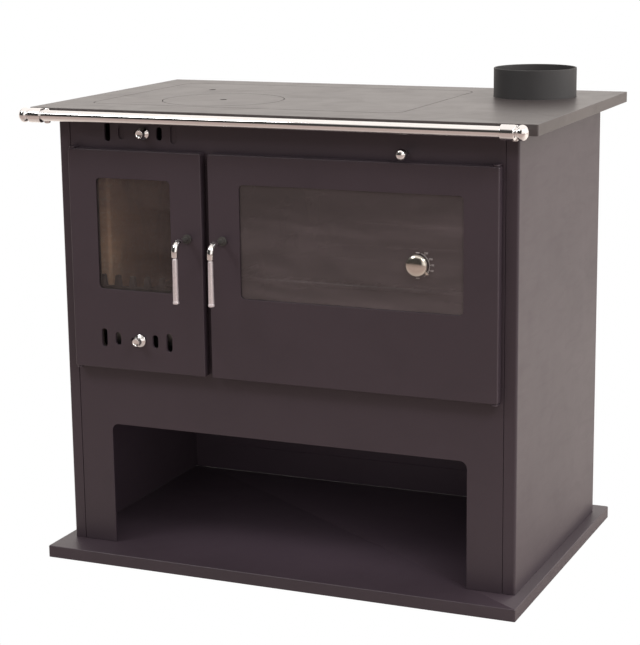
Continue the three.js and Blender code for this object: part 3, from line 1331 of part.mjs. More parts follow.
// Folded steel shell open at the front, standing on the hearth shelf, with an ash floor,
// bearers for the grate bed and the smoke port at the top of the oven side.
function fireboxShell() {
  const t = FIREBOX_WALL;
  const back = BEHIND_PANEL + FIREBOX_DEPTH;
  const top = BODY_TOP;
  const plan = outline([
    [SHELL_LEFT - t, BEHIND_PANEL],
    [SHELL_LEFT, BEHIND_PANEL],
    [SHELL_LEFT, back],
    [SHELL_RIGHT, back],
    [SHELL_RIGHT, BEHIND_PANEL],
    [SHELL_RIGHT + t, BEHIND_PANEL],
    [SHELL_RIGHT + t, back + t],
    [SHELL_LEFT - t, back + t],
  ]);
  const walls = prismZ(plan, HEARTH_SHELF_TOP + FIT, top);
  const floor = block(SHELL_LEFT - t / 2, SHELL_RIGHT + t / 2, BEHIND_PANEL, back + t / 2, ASH_FLOOR - t, ASH_FLOOR);
  const bearer = (wall, inner) => {
    const [x0, x1] = wall < inner ? [wall - t / 2, inner] : [inner, wall + t / 2];
    return block(x0, x1, BEHIND_PANEL + BEARER_SETBACK, back, GRATE_BED_BOTTOM - FIT - BEARER, GRATE_BED_BOTTOM - FIT);
  };
  const port = block(
    SHELL_RIGHT - 1,
    SHELL_RIGHT + t + 1,
    BEHIND_PANEL + BRICK_FRONT,
    back - BRICK_THICKNESS,
    top - SMOKE_PORT_HEIGHT,
    top - SMOKE_PORT_MARGIN,
  );
  const body = join(
    walls,
    floor,
    bearer(SHELL_LEFT, SHELL_LEFT + BEARER),
    bearer(SHELL_RIGHT, SHELL_RIGHT - BEARER),
  );
  return mesh("firebox_shell", cut(body, port), innerSteel);
}

const GRATE_X = (SHELL_LEFT + SHELL_RIGHT) / 2;
const GRATE_Y = BEHIND_PANEL + GRATE_FROM_FRONT + GRATE_LENGTH / 2;

// Cast bed with a stepped seat for the loose grate.
function grateBed() {
  const bed = block(
    SHELL_LEFT + FIT,
    SHELL_RIGHT - FIT,
    BEHIND_PANEL + BEARER_SETBACK,
    BEHIND_PANEL + FIREBOX_DEPTH - FIT,
    GRATE_BED_BOTTOM,
    GRATE_BED_TOP,
  );
  const rect = (grow) =>
    roundedRect(
      GRATE_X - GRATE_WIDTH / 2 - grow,
      GRATE_X + GRATE_WIDTH / 2 + grow,
      GRATE_Y - GRATE_LENGTH / 2 - grow,
      GRATE_Y + GRATE_LENGTH / 2 + grow,
      GRATE_CORNER,
    );
  const seat = prismZ(rect(GRATE_PLAY), GRATE_BED_TOP - GRATE_SEAT, GRATE_BED_TOP + 1, 2);
  const through = prismZ(rect(-GRATE_SEAT), GRATE_BED_BOTTOM - 1, GRATE_BED_TOP, 2);
  return mesh("grate_bed", cut(bed, seat, through), castIron);
}

// Loose grate: two rows of slots that widen downwards so that ash falls clear.
function grate() {
  const bottom = GRATE_BED_TOP - GRATE_SEAT + FIT;
  const top = bottom + GRATE_THICKNESS;
  const plate = prismZ(
    roundedRect(
      GRATE_X - GRATE_WIDTH / 2,
      GRATE_X + GRATE_WIDTH / 2,
      GRATE_Y - GRATE_LENGTH / 2,
      GRATE_Y + GRATE_LENGTH / 2,
      GRATE_CORNER,
    ),
    bottom,
    top,
    2,
  );
  const pitch = GRATE_SLOT + GRATE_BAR;
  const count = Math.floor((GRATE_WIDTH - GRATE_BAR - 2 * GRATE_SEAT) / pitch);
  const slotLength = (GRATE_LENGTH - 3 * GRATE_BRIDGE) / 2;
  const slots = [];
  for (let k = 0; k < count; k++) {
    for (const row of [-1, 1]) {
      const x = GRATE_X + (k - (count - 1) / 2) * pitch;
      const y = GRATE_Y + (row * (slotLength + GRATE_BRIDGE)) / 2;
      const ring = (grow, z) => {
        const [halfX, halfY] = [GRATE_SLOT / 2 + grow, slotLength / 2 + grow];
        return ringPoints(x - halfX, x + halfX, y - halfY, y + halfY, halfX - 0.5, 1).map(([u, v]) => [u, v, z]);
      };
      slots.push(loft([ring(GRATE_SLOT_DRAFT, bottom - 1), ring(0, top + 1)]));
    }
  }
  return mesh("grate", cut(plate, ...slots), castIron);
}

const BRICK_BOTTOM = GRATE_BED_TOP + FIT;
const BRICK_BACK = BEHIND_PANEL + FIREBOX_DEPTH - FIT;

// Firebrick slab with its edges towards the fire chamfered.
function brick(name, plan) {
  return mesh(name, prismZ(outline(plan), BRICK_BOTTOM, BODY_TOP - BRICK_TOP_DROP), firebrick);
}

function sideBrick(name, wall, inward) {
  const outer = wall + inward * FIT;
  const face = outer + inward * BRICK_THICKNESS;
  const front = BEHIND_PANEL + BRICK_FRONT;
  const back = BRICK_BACK - BRICK_THICKNESS - BRICK_JOINT;
  const bevel = inward * BRICK_CHAMFER;
  return brick(name, [
    [outer, front],
    [face - bevel, front],
    [face, front + BRICK_CHAMFER],
    [face, back - BRICK_CHAMFER],
    [face - bevel, back],
    [outer, back],
  ]);
}

function backBrick() {
  const [left, right] = [SHELL_LEFT + FIT, SHELL_RIGHT - FIT];
  const front = BRICK_BACK - BRICK_THICKNESS;
  return brick("brick_back", [
    [left, BRICK_BACK],
    [left, front + BRICK_CHAMFER],
    [left + BRICK_CHAMFER, front],
    [right - BRICK_CHAMFER, front],
    [right, front + BRICK_CHAMFER],
    [right, BRICK_BACK],
  ]);
}

// Toothed guard that keeps the logs off the door.
function logGuard() {
  const left = SHELL_LEFT + FIT;
  const right = SHELL_RIGHT - FIT;
  const foot = GRATE_BED_TOP + FIT;
  const root = foot + GUARD_HEIGHT;
  const tip = root + TOOTH_HEIGHT;
  const points = [[left, foot], [right, foot], [right, root]];
  for (let k = TOOTH_COUNT - 1; k >= 0; k--) {
    const x = GRATE_X + (k - (TOOTH_COUNT - 1) / 2) * TOOTH_PITCH;
    const [base, crown] = [TOOTH_WIDTH / 2 + TOOTH_DRAFT, TOOTH_WIDTH / 2 - TOOTH_DRAFT];
    points.push([x + base, root], [x + crown, tip - TOOTH_DRAFT], [x + crown - TOOTH_DRAFT, tip]);
    points.push([x - crown + TOOTH_DRAFT, tip], [x - crown, tip - TOOTH_DRAFT], [x - base, root]);
  }
  points.push([left, root]);
  const front = BODY_FRONT + GUARD_DEPTH;
  return mesh("log_guard", prismY(outline(points), front, front + GUARD_THICKNESS), castIron);
}

// Folded ash pan with a pull on its front.
function ashPan() {
  const x0 = FIRE_LEFT + ASH_PAN_SIDE_GAP;
  const x1 = FIRE_RIGHT - ASH_PAN_SIDE_GAP;
  const y0 = BODY_FRONT + ASH_PAN_FRONT;
  const y1 = y0 + ASH_PAN_LENGTH;
  const z0 = ASH_FLOOR + FIT;
  const z1 = z0 + ASH_PAN_HEIGHT;
  const ring = (inset, z) => ringPoints(x0 + inset, x1 - inset, y0 + inset, y1 - inset, 6).map(([x, y]) => [x, y, z]);
  const wall = ASH_PAN_WALL;
  const pan = cut(
    loft([ring(ASH_PAN_DRAFT, z0), ring(0, z1)]),
    loft([ring(ASH_PAN_DRAFT + wall, z0 + wall), ring(wall, z1 + 0.01)]),
  );
  const half = PULL_WIDTH / 2;
  const pullTop = z1 - ASH_PAN_DRAFT;
  const pull = prismX(
    outline([
      [y0 + wall, pullTop],
      [y0 - PULL_REACH, pullTop],
      [y0 - PULL_REACH, pullTop - PULL_LIP],
      [y0 - PULL_REACH + wall, pullTop - PULL_LIP],
      [y0 - PULL_REACH + wall, pullTop - wall],
      [y0 + wall, pullTop - wall],
    ]),
    GRATE_X - half,
    GRATE_X + half,
  );
  return mesh("ash_pan", join(pan, pull), zincSteel);
}

// ---------------------------------------------------------------- oven

const OVEN_BACK = BEHIND_PANEL + OVEN_DEPTH;

// Enamelled oven box with a flange behind the front panel and pressed runners for the rack.
function ovenLiner() {
  const t = OVEN_SHEET;
  const tube = (grow, y0, y1) => {
    const shape = roundedRect(
      OVEN_INNER_LEFT - grow,
      OVEN_INNER_RIGHT + grow,
      OVEN_FLOOR - grow,
      OVEN_ROOF + grow,
      OPENING_CORNER + grow,
    );
    return prismY(shape, y0, y1, 2);
  };
  const box = cut(tube(t, BEHIND_PANEL, OVEN_BACK), tube(0, BEHIND_PANEL - 1, OVEN_BACK - t));
  const flange = cut(
    tube(OVEN_FLANGE, BEHIND_PANEL, BEHIND_PANEL + t),
    tube(0, BEHIND_PANEL - 1, BEHIND_PANEL + t + 1),
  );
  const runners = RUNNER_HEIGHTS.flatMap((height) =>
    [
      [OVEN_INNER_LEFT - t / 2, OVEN_INNER_LEFT + RUNNER_WIDTH],
      [OVEN_INNER_RIGHT - RUNNER_WIDTH, OVEN_INNER_RIGHT + t / 2],
    ].map(([x0, x1]) =>
      block(
        x0,
        x1,
        BEHIND_PANEL + RUNNER_SETBACK,
        OVEN_BACK - t / 2,
        OVEN_FLOOR + height - RUNNER_THICKNESS,
        OVEN_FLOOR + height,
      ),
    ),
  );
  return mesh("oven_liner", join(box, flange, ...runners), ovenEnamel);
}

const OVEN_MIDDLE = (OVEN_INNER_LEFT + OVEN_INNER_RIGHT) / 2;
const RACK_Z = OVEN_FLOOR + RUNNER_HEIGHTS[0] + FIT + RACK_FRAME_RADIUS;
const RACK_FRONT = BEHIND_PANEL + RUNNER_SETBACK + RACK_FRAME_RADIUS;

// Wire rack on the lower runners.
function ovenRack() {
  const half = (OVEN_INNER_RIGHT - OVEN_INNER_LEFT) / 2 - RACK_SIDE_GAP - RACK_FRAME_RADIUS;
  const [left, right] = [OVEN_MIDDLE - half, OVEN_MIDDLE + half];
  const [front, back] = [RACK_FRONT, RACK_FRONT + RACK_LENGTH];
  const across = RACK_FRAME_RADIUS;
  const sides = [left, right].map((x) => bar([x, front - across, RACK_Z], [x, back + across, RACK_Z], across, 8));
  const ends = [front, back].map((y) => bar([left, y, RACK_Z], [right, y, RACK_Z], across, 8));
  const wires = Array.from({ length: RACK_BARS }, (_, k) => {
    const x = left + ((k + 1) * (right - left)) / (RACK_BARS + 1);
    return bar([x, front, RACK_Z], [x, back, RACK_Z], RACK_WIRE_RADIUS, 6);
  });
  return mesh("oven_rack", join(...sides, ...ends, ...wires), zincSteel);
}

// Drawn baking tray with a rolled-out rim, standing on the rack.
function bakingTray() {
  const floor = RACK_Z + RACK_WIRE_RADIUS + FIT;
  const top = floor + TRAY_DEPTH;
  const middle = RACK_FRONT + RACK_LENGTH / 2;
  const ring = (grow, z) =>
    ringPoints(
      OVEN_INNER_LEFT + TRAY_SIDE_GAP - grow,
      OVEN_INNER_RIGHT - TRAY_SIDE_GAP + grow,
      middle - TRAY_LENGTH / 2 - grow,
      middle + TRAY_LENGTH / 2 + grow,
      TRAY_CORNER + grow,
      4,
    ).map(([x, y]) => [x, y, z]);
  const wall = TRAY_WALL;
  const outer = loft([
    ring(-TRAY_DRAFT, floor),
    ring(-wall, top - wall),
    ring(TRAY_RIM - wall, top - wall),
    ring(TRAY_RIM - wall, top),
  ]);
  const inner = loft([ring(-TRAY_DRAFT - wall, floor + wall), ring(-2 * wall, top + 0.01)]);
  return mesh("baking_tray", cut(outer, inner), ovenEnamel);
}

// Cover of the cleaning opening below the oven, with a lip to pull it by.
function sootCover() {
  const x0 = OVEN_LEFT + SOOT_LEFT - SOOT_LAP;
  const x1 = OVEN_LEFT + SOOT_LEFT + SOOT_WIDTH + SOOT_LAP;
  const half = SOOT_HEIGHT / 2 + SOOT_LAP;
  const z = OVEN_BOTTOM - SOOT_DROP;
  const back = BODY_FRONT - FIT;
  const plate = prismY(roundedRect(x0, x1, z - half, z + half, OPENING_CORNER), back - OVEN_SHEET, back);
  const lip = prismX(
    outline([
      [back - OVEN_SHEET / 2, z],
      [back - SOOT_LIP, z],
      [back - SOOT_LIP, z - OVEN_SHEET],
      [back - OVEN_SHEET / 2, z - OVEN_SHEET],
    ]),
    (x0 + x1) / 2 - SOOT_LIP_WIDTH / 2,
    (x0 + x1) / 2 + SOOT_LIP_WIDTH / 2,
  );
  return mesh("soot_cover", join(plate, lip), innerSteel);
}

// ---------------------------------------------------------------- assembly

const stove = new THREE.Group();
stove.add(
  basePlate(),
  sidePanel("left_side_panel", -1),
  sidePanel("right_side_panel", 1),
  upperFrontPanel(),
  lowerFrontPanel(),
  doorPost("left_door_post", -FLANGE_LAP, FIRE_LEFT),
  doorPost("right_door_post", OVEN_RIGHT, FLANGE_LAP),
  ovenFrame(),
  backPanel(),
  shelf("wood_store_ceiling", STORE_CEILING, innerSteel),
  shelf("hearth_shelf", HEARTH_SHELF_TOP, innerSteel),
  hobPlate(),
  hobInsert(),
  hobLid(),
  flueCollar(),
  flueBox(),
  ...damper(),
  damperRodGuide(),
  railTube(),
  ...[-1, 1].flatMap((side) => {
    const word = side < 0 ? "left" : "right";
    return [railEnd(`rail_end_${word}`, side), railBracket(`rail_bracket_${word}`, side)];
  }),
  ...upperAir(),
  fireboxShell(),
  grateBed(),
  grate(),
  sideBrick("brick_left", SHELL_LEFT, 1),
  sideBrick("brick_right", SHELL_RIGHT, -1),
  backBrick(),
  logGuard(),
  ashPan(),
  ovenLiner(),
  ovenRack(),
  bakingTray(),
  sootCover(),
  hingeTab(fireboxDoor, FIREBOX_DOOR_LEFT, "upper"),
  hingeTab(fireboxDoor, FIREBOX_DOOR_LEFT, "lower"),
  hingeTab(ovenDoor, OVEN_DOOR_LEFT, "upper"),
  hingeTab(ovenDoor, OVEN_DOOR_LEFT, "lower"),
  placed(
    FIREBOX_DOOR_LEFT,
    DOOR_FACE,
    DOOR_BOTTOM,
    fireboxDoorPanel(),
    doorLiner(fireboxDoor, airWay()),
    doorGlass(fireboxDoor),
    doorSeal(fireboxDoor),
    ...lowerAir(),
    handle(fireboxDoor),
  ),
  placed(
    OVEN_DOOR_LEFT,
    DOOR_FACE,
    DOOR_BOTTOM,
    mesh("oven_door_panel", doorPanel(ovenDoor), castingPaint),
    doorLiner(ovenDoor),
    doorGlass(ovenDoor, bar([THERMO_X, 0, THERMO_Z], [THERMO_X, LINER_FRONT, THERMO_Z], THERMO_STEM_RADIUS + FIT, 16)),
    doorSeal(ovenDoor),
    thermometerStem(),
    thermometerCap(),
    handle(ovenDoor),
  ),
);

export default stove;
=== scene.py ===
"""Looks of a wood-burning cookstove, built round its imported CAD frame.

Metres, in the frame of the part: +X right seen from the front, +Y back, +Z up, floor at 0.
"""

import json
import math

import bmesh
import bpy
import numpy as np
from mathutils import Matrix, Vector
from mathutils.geometry import tessellate_polygon

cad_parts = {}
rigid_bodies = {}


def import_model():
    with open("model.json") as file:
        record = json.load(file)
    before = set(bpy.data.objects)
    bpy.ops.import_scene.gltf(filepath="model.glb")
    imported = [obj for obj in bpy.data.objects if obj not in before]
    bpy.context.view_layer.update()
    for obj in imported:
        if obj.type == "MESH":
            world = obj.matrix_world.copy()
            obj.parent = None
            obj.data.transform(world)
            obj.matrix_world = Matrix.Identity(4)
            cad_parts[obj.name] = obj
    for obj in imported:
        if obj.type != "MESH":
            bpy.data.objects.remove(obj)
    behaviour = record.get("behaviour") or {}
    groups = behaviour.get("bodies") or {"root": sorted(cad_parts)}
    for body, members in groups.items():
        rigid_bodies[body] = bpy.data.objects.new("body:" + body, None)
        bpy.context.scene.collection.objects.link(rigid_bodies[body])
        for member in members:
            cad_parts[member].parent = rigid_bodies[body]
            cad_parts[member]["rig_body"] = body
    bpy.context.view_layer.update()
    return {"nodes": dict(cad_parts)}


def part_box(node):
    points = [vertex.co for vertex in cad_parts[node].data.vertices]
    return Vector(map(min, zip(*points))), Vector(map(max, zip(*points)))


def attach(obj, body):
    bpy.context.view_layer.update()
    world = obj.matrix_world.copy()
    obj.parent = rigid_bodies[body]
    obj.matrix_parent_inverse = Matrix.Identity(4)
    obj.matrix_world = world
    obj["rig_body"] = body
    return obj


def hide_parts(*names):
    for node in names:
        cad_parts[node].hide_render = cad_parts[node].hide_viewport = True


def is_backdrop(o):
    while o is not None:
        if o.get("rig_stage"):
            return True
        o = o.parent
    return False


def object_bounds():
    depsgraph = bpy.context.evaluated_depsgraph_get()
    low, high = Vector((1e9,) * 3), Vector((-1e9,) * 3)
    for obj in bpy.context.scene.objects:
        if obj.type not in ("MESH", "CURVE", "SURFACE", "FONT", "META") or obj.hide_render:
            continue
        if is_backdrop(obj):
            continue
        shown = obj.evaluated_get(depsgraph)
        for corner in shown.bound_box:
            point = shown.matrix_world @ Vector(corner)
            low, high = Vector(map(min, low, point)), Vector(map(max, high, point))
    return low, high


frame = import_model()
MM = 0.001
SHARP_ANGLE = math.radians(40)  # edges steeper than this stay sharp or get a rounding

# ---------------------------------------------------------------- shapes


def add_piece(name, parts, material, body, replaces=(), flat=False):
    """One object from (points, faces) parts, welded, with its faces turned outwards.

    It rides on a CAD body and may stand for CAD nodes. Flat pieces keep even shading on
    their large faces, right up to the small roundings of their edges.
    """
    shape = bmesh.new()
    for points, faces in parts:
        made = [shape.verts.new(point) for point in points]
        for face in faces:
            shape.faces.new([made[i] for i in face])
    bmesh.ops.remove_doubles(shape, verts=shape.verts, dist=1e-6)
    bmesh.ops.recalc_face_normals(shape, faces=shape.faces)
    return finished(name, shape, material, body, replaces, flat)


def finished(name, shape, material, body, replaces, flat):
    """Turns a bmesh into a shaded object that rides on a body."""
    mesh = bpy.data.meshes.new(name)
    shape.to_mesh(mesh)
    shape.free()
    mesh.shade_smooth()
    mesh.set_sharp_from_angle(angle=SHARP_ANGLE)
    mesh.materials.append(material)
    piece = bpy.data.objects.new(name, mesh)
    bpy.context.scene.collection.objects.link(piece)
    if flat:
        even = piece.modifiers.new("even_shading", "WEIGHTED_NORMAL")
        even.weight = 100
        even.keep_sharp = True
    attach(piece, body)
    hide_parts(*replaces)
    return piece


def eased(node_name, material, width=0.4 * MM):
    """Copy of a CAD node with its sharp edges rounded, which stands for that node."""
    source = frame["nodes"][node_name]
    shape = bmesh.new()
    shape.from_mesh(source.data)
    bmesh.ops.remove_doubles(shape, verts=shape.verts, dist=2e-6)
    bmesh.ops.dissolve_limit(shape, angle_limit=math.radians(0.5), verts=shape.verts, edges=shape.edges)
    sharp = [e for e in shape.edges if len(e.link_faces) == 2 and e.calc_face_angle() > SHARP_ANGLE]
    bmesh.ops.bevel(
        shape, geom=sharp, offset=width, segments=2, profile=0.5, affect="EDGES", clamp_overlap=False
    )
    return finished(f"{node_name}_surface", shape, material, source["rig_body"], [node_name], True)


def rings_joined(rings, closed=False):
    """Points and faces of the surface through rings of equal length."""
    rings = np.asarray(rings, float)
    rows, columns = rings.shape[:2]
    i, j = np.meshgrid(np.arange(rows if closed else rows - 1), np.arange(columns), indexing="ij")
    after, beside = (i + 1) % rows, (j + 1) % columns
    here, there = i * columns, after * columns
    faces = np.stack([here + j, here + beside, there + beside, there + j], -1)
    return rings.reshape(-1, 3), faces.reshape(-1, 4)


def turned(profile, foot, axis, segments=64):
    """Surface of revolution from (radius, distance along the axis) rows; radius 0 is a pole."""
    axis = Vector(axis).normalized()
    side = axis.orthogonal().normalized()
    other = axis.cross(side)
    turn = np.linspace(0, 2 * math.pi, segments, endpoint=False)
    radial = np.outer(np.cos(turn), side) + np.outer(np.sin(turn), other)
    rings = [np.asarray(foot) + radius * radial + along * np.asarray(axis) for radius, along in profile]
    return rings_joined(rings)


def filleted(corners, radius, steps=5):
    """Open profile with its inner corners rounded by short curves."""
    points = [np.asarray(corner, float) for corner in corners]
    rounded = [points[0]]
    for before, corner, after in zip(points, points[1:], points[2:]):
        reach = min(radius, np.linalg.norm(before - corner) / 2.01, np.linalg.norm(after - corner) / 2.01)
        start = corner + (before - corner) / np.linalg.norm(before - corner) * reach
        end = corner + (after - corner) / np.linalg.norm(after - corner) * reach
        for t in np.linspace(0, 1, steps):
            rounded.append((1 - t) ** 2 * start + 2 * t * (1 - t) * corner + t * t * end)
    rounded.append(points[-1])
    return np.array(rounded)


def swept(path, normal, radii, sides=32, closed=False):
    """Round tube along a flat path whose plane has the given normal; radii may vary."""
    path = np.asarray(path, float)
    normal = np.asarray(normal, float)
    if closed:
        along = np.roll(path, -1, 0) - np.roll(path, 1, 0)
    else:
        along = np.gradient(path, axis=0)
    along /= np.linalg.norm(along, axis=1)[:, None]
    across = np.cross(along, normal)
    turn = np.linspace(0, 2 * math.pi, sides, endpoint=False)
    if np.ndim(radii) == 1:
        radii = np.reshape(radii, (-1, 1))
    radii = np.broadcast_to(radii, (len(path), sides))
    ring = radii[:, :, None] * (
        np.cos(turn)[None, :, None] * across[:, None, :] + np.sin(turn)[None, :, None] * normal[None, None, :]
    )
    rings = path[:, None, :] + ring
    if not closed:
        ends = [np.repeat(path[k][None, :], sides, 0) for k in (0, -1)]
        rings = np.concatenate([ends[0][None], rings, ends[1][None]])
    return rings_joined(rings, closed)


def outline(corners, radii, steps=7):
    """Closed counter-clockwise outline through corner points, each rounded by its radius."""
    corners = np.asarray(corners, float)
    radii = np.broadcast_to(radii, len(corners))
    loop = []
    for k, (corner, radius) in enumerate(zip(corners, radii)):
        into = corners[k - 1] - corner
        away = corners[(k + 1) % len(corners)] - corner
        into, away = into / np.linalg.norm(into), away / np.linalg.norm(away)
        if radius == 0:
            loop.append(corner)
            continue
        half = math.acos(np.clip(into @ away, -1, 1)) / 2
        centre = corner + (into + away) / np.linalg.norm(into + away) * radius / math.sin(half)
        first = corner + into * radius / math.tan(half) - centre
        last = corner + away * radius / math.tan(half) - centre
        sweep = math.pi - 2 * half
        for t in np.linspace(0, 1, steps):
            spoke = first * math.sin((1 - t) * sweep) + last * math.sin(t * sweep)
            loop.append(centre + spoke / math.sin(sweep))
    return np.array(loop)


def rectangle(u0, u1, v0, v1, radius=0.0, steps=7):
    """Rounded rectangle; one as wide as twice its radius is a slot or a circle."""
    radius = min(radius, (u1 - u0) / 2 - 1e-5, (v1 - v0) / 2 - 1e-5)
    return outline([(u0, v0), (u1, v0), (u1, v1), (u0, v1)], radius, steps)


def centred(u, v, wide, tall, radius):
    """Rounded rectangle about a middle."""
    return rectangle(u - wide / 2, u + wide / 2, v - tall / 2, v + tall / 2, radius)


def circle(u, v, radius, steps=7):
    """Circle as four arcs of that many points."""
    return rectangle(u - radius, u + radius, v - radius, v + radius, radius, steps)


def level(loop, height):
    """Ring of a flat outline's points at one height."""
    return np.column_stack([loop, np.full(len(loop), height)])


def spun(points, angle, middle):
    """Flat points turned about their origin, which is then moved to a middle."""
    turn = np.array([[math.cos(angle), -math.sin(angle)], [math.sin(angle), math.cos(angle)]])
    return np.asarray(points) @ turn.T + middle


def grown(loop, by):
    """Closed outline moved outwards by a distance, or inwards if it is negative."""
    along = np.roll(loop, -1, 0) - loop
    along /= np.linalg.norm(along, axis=1)[:, None]
    outward = np.stack([along[:, 1], -along[:, 0]], 1)
    before = np.roll(outward, 1, 0)
    mitre = (outward + before) / (1 + (outward * before).sum(1))[:, None]
    return loop + by * mitre


def edge_rows(front, back, ease, steps=3):
    """(inset, depth) rows of a sheet's edge with both its corners rounded."""
    quarter = np.linspace(0, math.pi / 2, steps + 1)
    sign = 1 if back > front else -1
    first = [(ease * (1 - math.sin(a)), front + sign * ease * (1 - math.cos(a))) for a in quarter]
    last = [(inset, back - (depth - front)) for inset, depth in reversed(first)]
    return first + last


def panel(outer, holes, rows, hole_rows, upright=True, pits=()):
    """Closed sheet or pressed shell between two flat faces.

    The outer outline passes through rows of (inset, depth), each hole through its own. A pit
    is a hole that ends in a floor. Upright sheets lie in XZ with their depth along Y, the
    others in XY with their depth along Z.
    """

    def lifted(loop, depth):
        flat = np.full(len(loop), depth)
        return np.stack([loop[:, 0], flat, loop[:, 1]] if upright else [loop[:, 0], loop[:, 1], flat], 1)

    chains = [[lifted(grown(outer, -inset), depth) for inset, depth in rows]]
    for hole in holes:
        chains.append([lifted(grown(hole, inset), depth) for inset, depth in hole_rows])
    sunk = [[lifted(grown(loop, inset), depth) for inset, depth in pit_rows] for loop, pit_rows in pits]
    parts = [rings_joined(chain) for chain in chains + sunk]
    for at, loops in ((0, chains + sunk), (-1, chains)):
        loops = [chain[at] for chain in loops]
        points = np.concatenate(loops)
        triangles = tessellate_polygon([[Vector(point) for point in loop] for loop in loops])
        parts.append((points, [triangle for triangle in triangles if len(set(triangle)) == 3]))
    for chain in sunk:
        parts.append((chain[-1], [list(range(len(chain[-1])))]))
    return parts


def screw_head(place, axis, radius):
    """Domed screw head with a hexagonal socket."""
    dome = [(radius * math.cos(a), radius * 0.55 * math.sin(a)) for a in np.linspace(0, 1.1, 6)]
    rim = dome[-1][0]
    socket = [(rim * 0.9, dome[-1][1] - 0.02 * radius), (rim * 0.9, radius * 0.12), (0, radius * 0.1)]
    return turned([(0, 0), (radius, 0), *dome, *socket], place, axis, 18)


def middle_of(node_name):
    """Middle of a CAD node's box."""
    low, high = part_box(node_name)
    return (low + high) / 2


# ---------------------------------------------------------------- material tools


def new_material(name):
    """A new node material, its tree, its Principled shader and the place on the object."""
    material = bpy.data.materials.new(name)
    material.use_nodes = True
    tree = material.node_tree
    place = tree.nodes.new("ShaderNodeTexCoord").outputs["Object"]
    return material, tree, tree.nodes["Principled BSDF"], place


def node(tree, kind, inputs=(), **settings):
    """Adds a node, sets its properties and fills its inputs with links or values."""
    made = tree.nodes.new(kind)
    for key, value in settings.items():
        setattr(made, key, value)
    for key, value in dict(inputs).items():
        if isinstance(value, bpy.types.NodeSocket):
            tree.links.new(value, made.inputs[key])
        else:
            made.inputs[key].default_value = value
    return made


def noise(tree, place, scale, detail=3.0, roughness=0.5, distortion=0.0):
    """Value of a noise texture at a place."""
    inputs = {"Vector": place, "Scale": scale, "Detail": detail}
    inputs.update({"Roughness": roughness, "Distortion": distortion})
    return node(tree, "ShaderNodeTexNoise", inputs).outputs["Fac"]


def blended(tree, factor, first, second, mode="MIX"):
    """Colour between two colours."""
    mix = node(tree, "ShaderNodeMix", {0: factor, 6: first, 7: second}, data_type="RGBA", blend_type=mode)
    return mix.outputs[2]


def ranged(tree, value, low, high, start=0.0, end=1.0):
    """Value moved from start..end to low..high, and kept inside it."""
    inputs = {"Value": value, "From Min": start, "From Max": end, "To Min": low, "To Max": high}
    return node(tree, "ShaderNodeMapRange", inputs).outputs["Result"]


def bumped(tree, height, distance, strength=1.0, normal=None):
    """Normal of a surface with a relief of that height in metres."""
    inputs = {"Height": height, "Distance": distance, "Strength": strength}
    if normal is not None:
        inputs["Normal"] = normal
    return node(tree, "ShaderNodeBump", inputs).outputs["Normal"]


def stretched(tree, place, scale):
    """Place scaled by a different number on each axis, for drawn or brushed marks."""
    return node(tree, "ShaderNodeMapping", {"Vector": place, "Scale": scale}).outputs["Vector"]


def connect(tree, shader, **sockets):
    """Links or sets the shader's inputs, named with _ for a space."""
    for key, value in sockets.items():
        socket = shader.inputs[key.replace("_", " ")]
        if isinstance(value, bpy.types.NodeSocket):
            tree.links.new(value, socket)
        else:
            socket.default_value = value


def grey(value):
    """Opaque grey of one value."""
    return (value, value, value, 1)


def toned(tone, share, lift=0.0):
    """Opaque colour at a share of a tone's strength, lifted by a little grey."""
    return [c * share + lift for c in tone[:3]] + [1]


# ---------------------------------------------------------------- materials


def stove_paint(name, tone, roughness, peel=1.0, smudges=1.0):
    """Sprayed stove paint: slow drift of tone, fine flake, orange peel and wiped smudges."""
    material, tree, shader, place = new_material(name)
    drift = noise(tree, place, 3.5, 4)
    flake = noise(tree, place, 1500, 2, 0.7)
    cloud = noise(tree, place, 11, 6, 0.62, 0.8)
    wiped = noise(tree, stretched(tree, place, (5, 5, 22)), 2.2, 5, 0.6, 1.2)
    tint = blended(tree, ranged(tree, drift, 0, 1, 0.35, 0.65), tone, toned(tone, 1.12))
    tint = blended(tree, ranged(tree, flake, 0, 0.55, 0.5, 0.8), tint, toned(tone, 1.7, 0.01))
    tint = blended(tree, ranged(tree, cloud, 0, 0.3 * smudges, 0.5, 0.75), tint, toned(tone, 0.8))
    gloss = ranged(tree, cloud, roughness - 0.01, roughness + 0.02 * smudges, 0.35, 0.7)
    matt = ranged(tree, wiped, -0.01, 0.03 * smudges, 0.45, 0.8)
    gloss = node(tree, "ShaderNodeMath", {0: gloss, 1: matt}).outputs[0]
    skin = bumped(tree, noise(tree, place, 420, 3, 0.6), 0.05 * MM * peel, 0.5)
    skin = bumped(tree, flake, 0.012 * MM, 0.5, skin)
    connect(tree, shader, Base_Color=tint, Roughness=gloss, Normal=skin)
    return material


def plated(name, tone, roughness, lines=None, metal=1.0):
    """Chrome plate with faint wipe marks; lines names the stretch of a brushed grain."""
    material, tree, shader, place = new_material(name)
    haze = noise(tree, place, 45, 4, 0.6, 0.5)
    wipe = noise(tree, stretched(tree, place, (1, 6, 3)), 60, 5, 0.65, 1)
    gloss = ranged(tree, haze, roughness * 0.8, roughness * 1.5, 0.35, 0.7)
    tint = blended(tree, ranged(tree, wipe, 0, 1, 0.4, 0.75), tone, toned(tone, 0.93))
    relief = bumped(tree, noise(tree, place, 260, 2), 0.004 * MM, 0.4)
    if lines is not None:
        grain = noise(tree, stretched(tree, place, lines), 1, 3, 0.7)
        gloss = ranged(tree, grain, roughness * 0.75, roughness * 1.35, 0.3, 0.7)
        tint = blended(tree, ranged(tree, grain, 0, 0.6, 0.35, 0.7), tint, toned(tone, 0.8))
        relief = bumped(tree, grain, 0.02 * MM, 0.5)
    connect(tree, shader, Base_Color=tint, Metallic=metal, Roughness=gloss, Normal=relief)
    return material


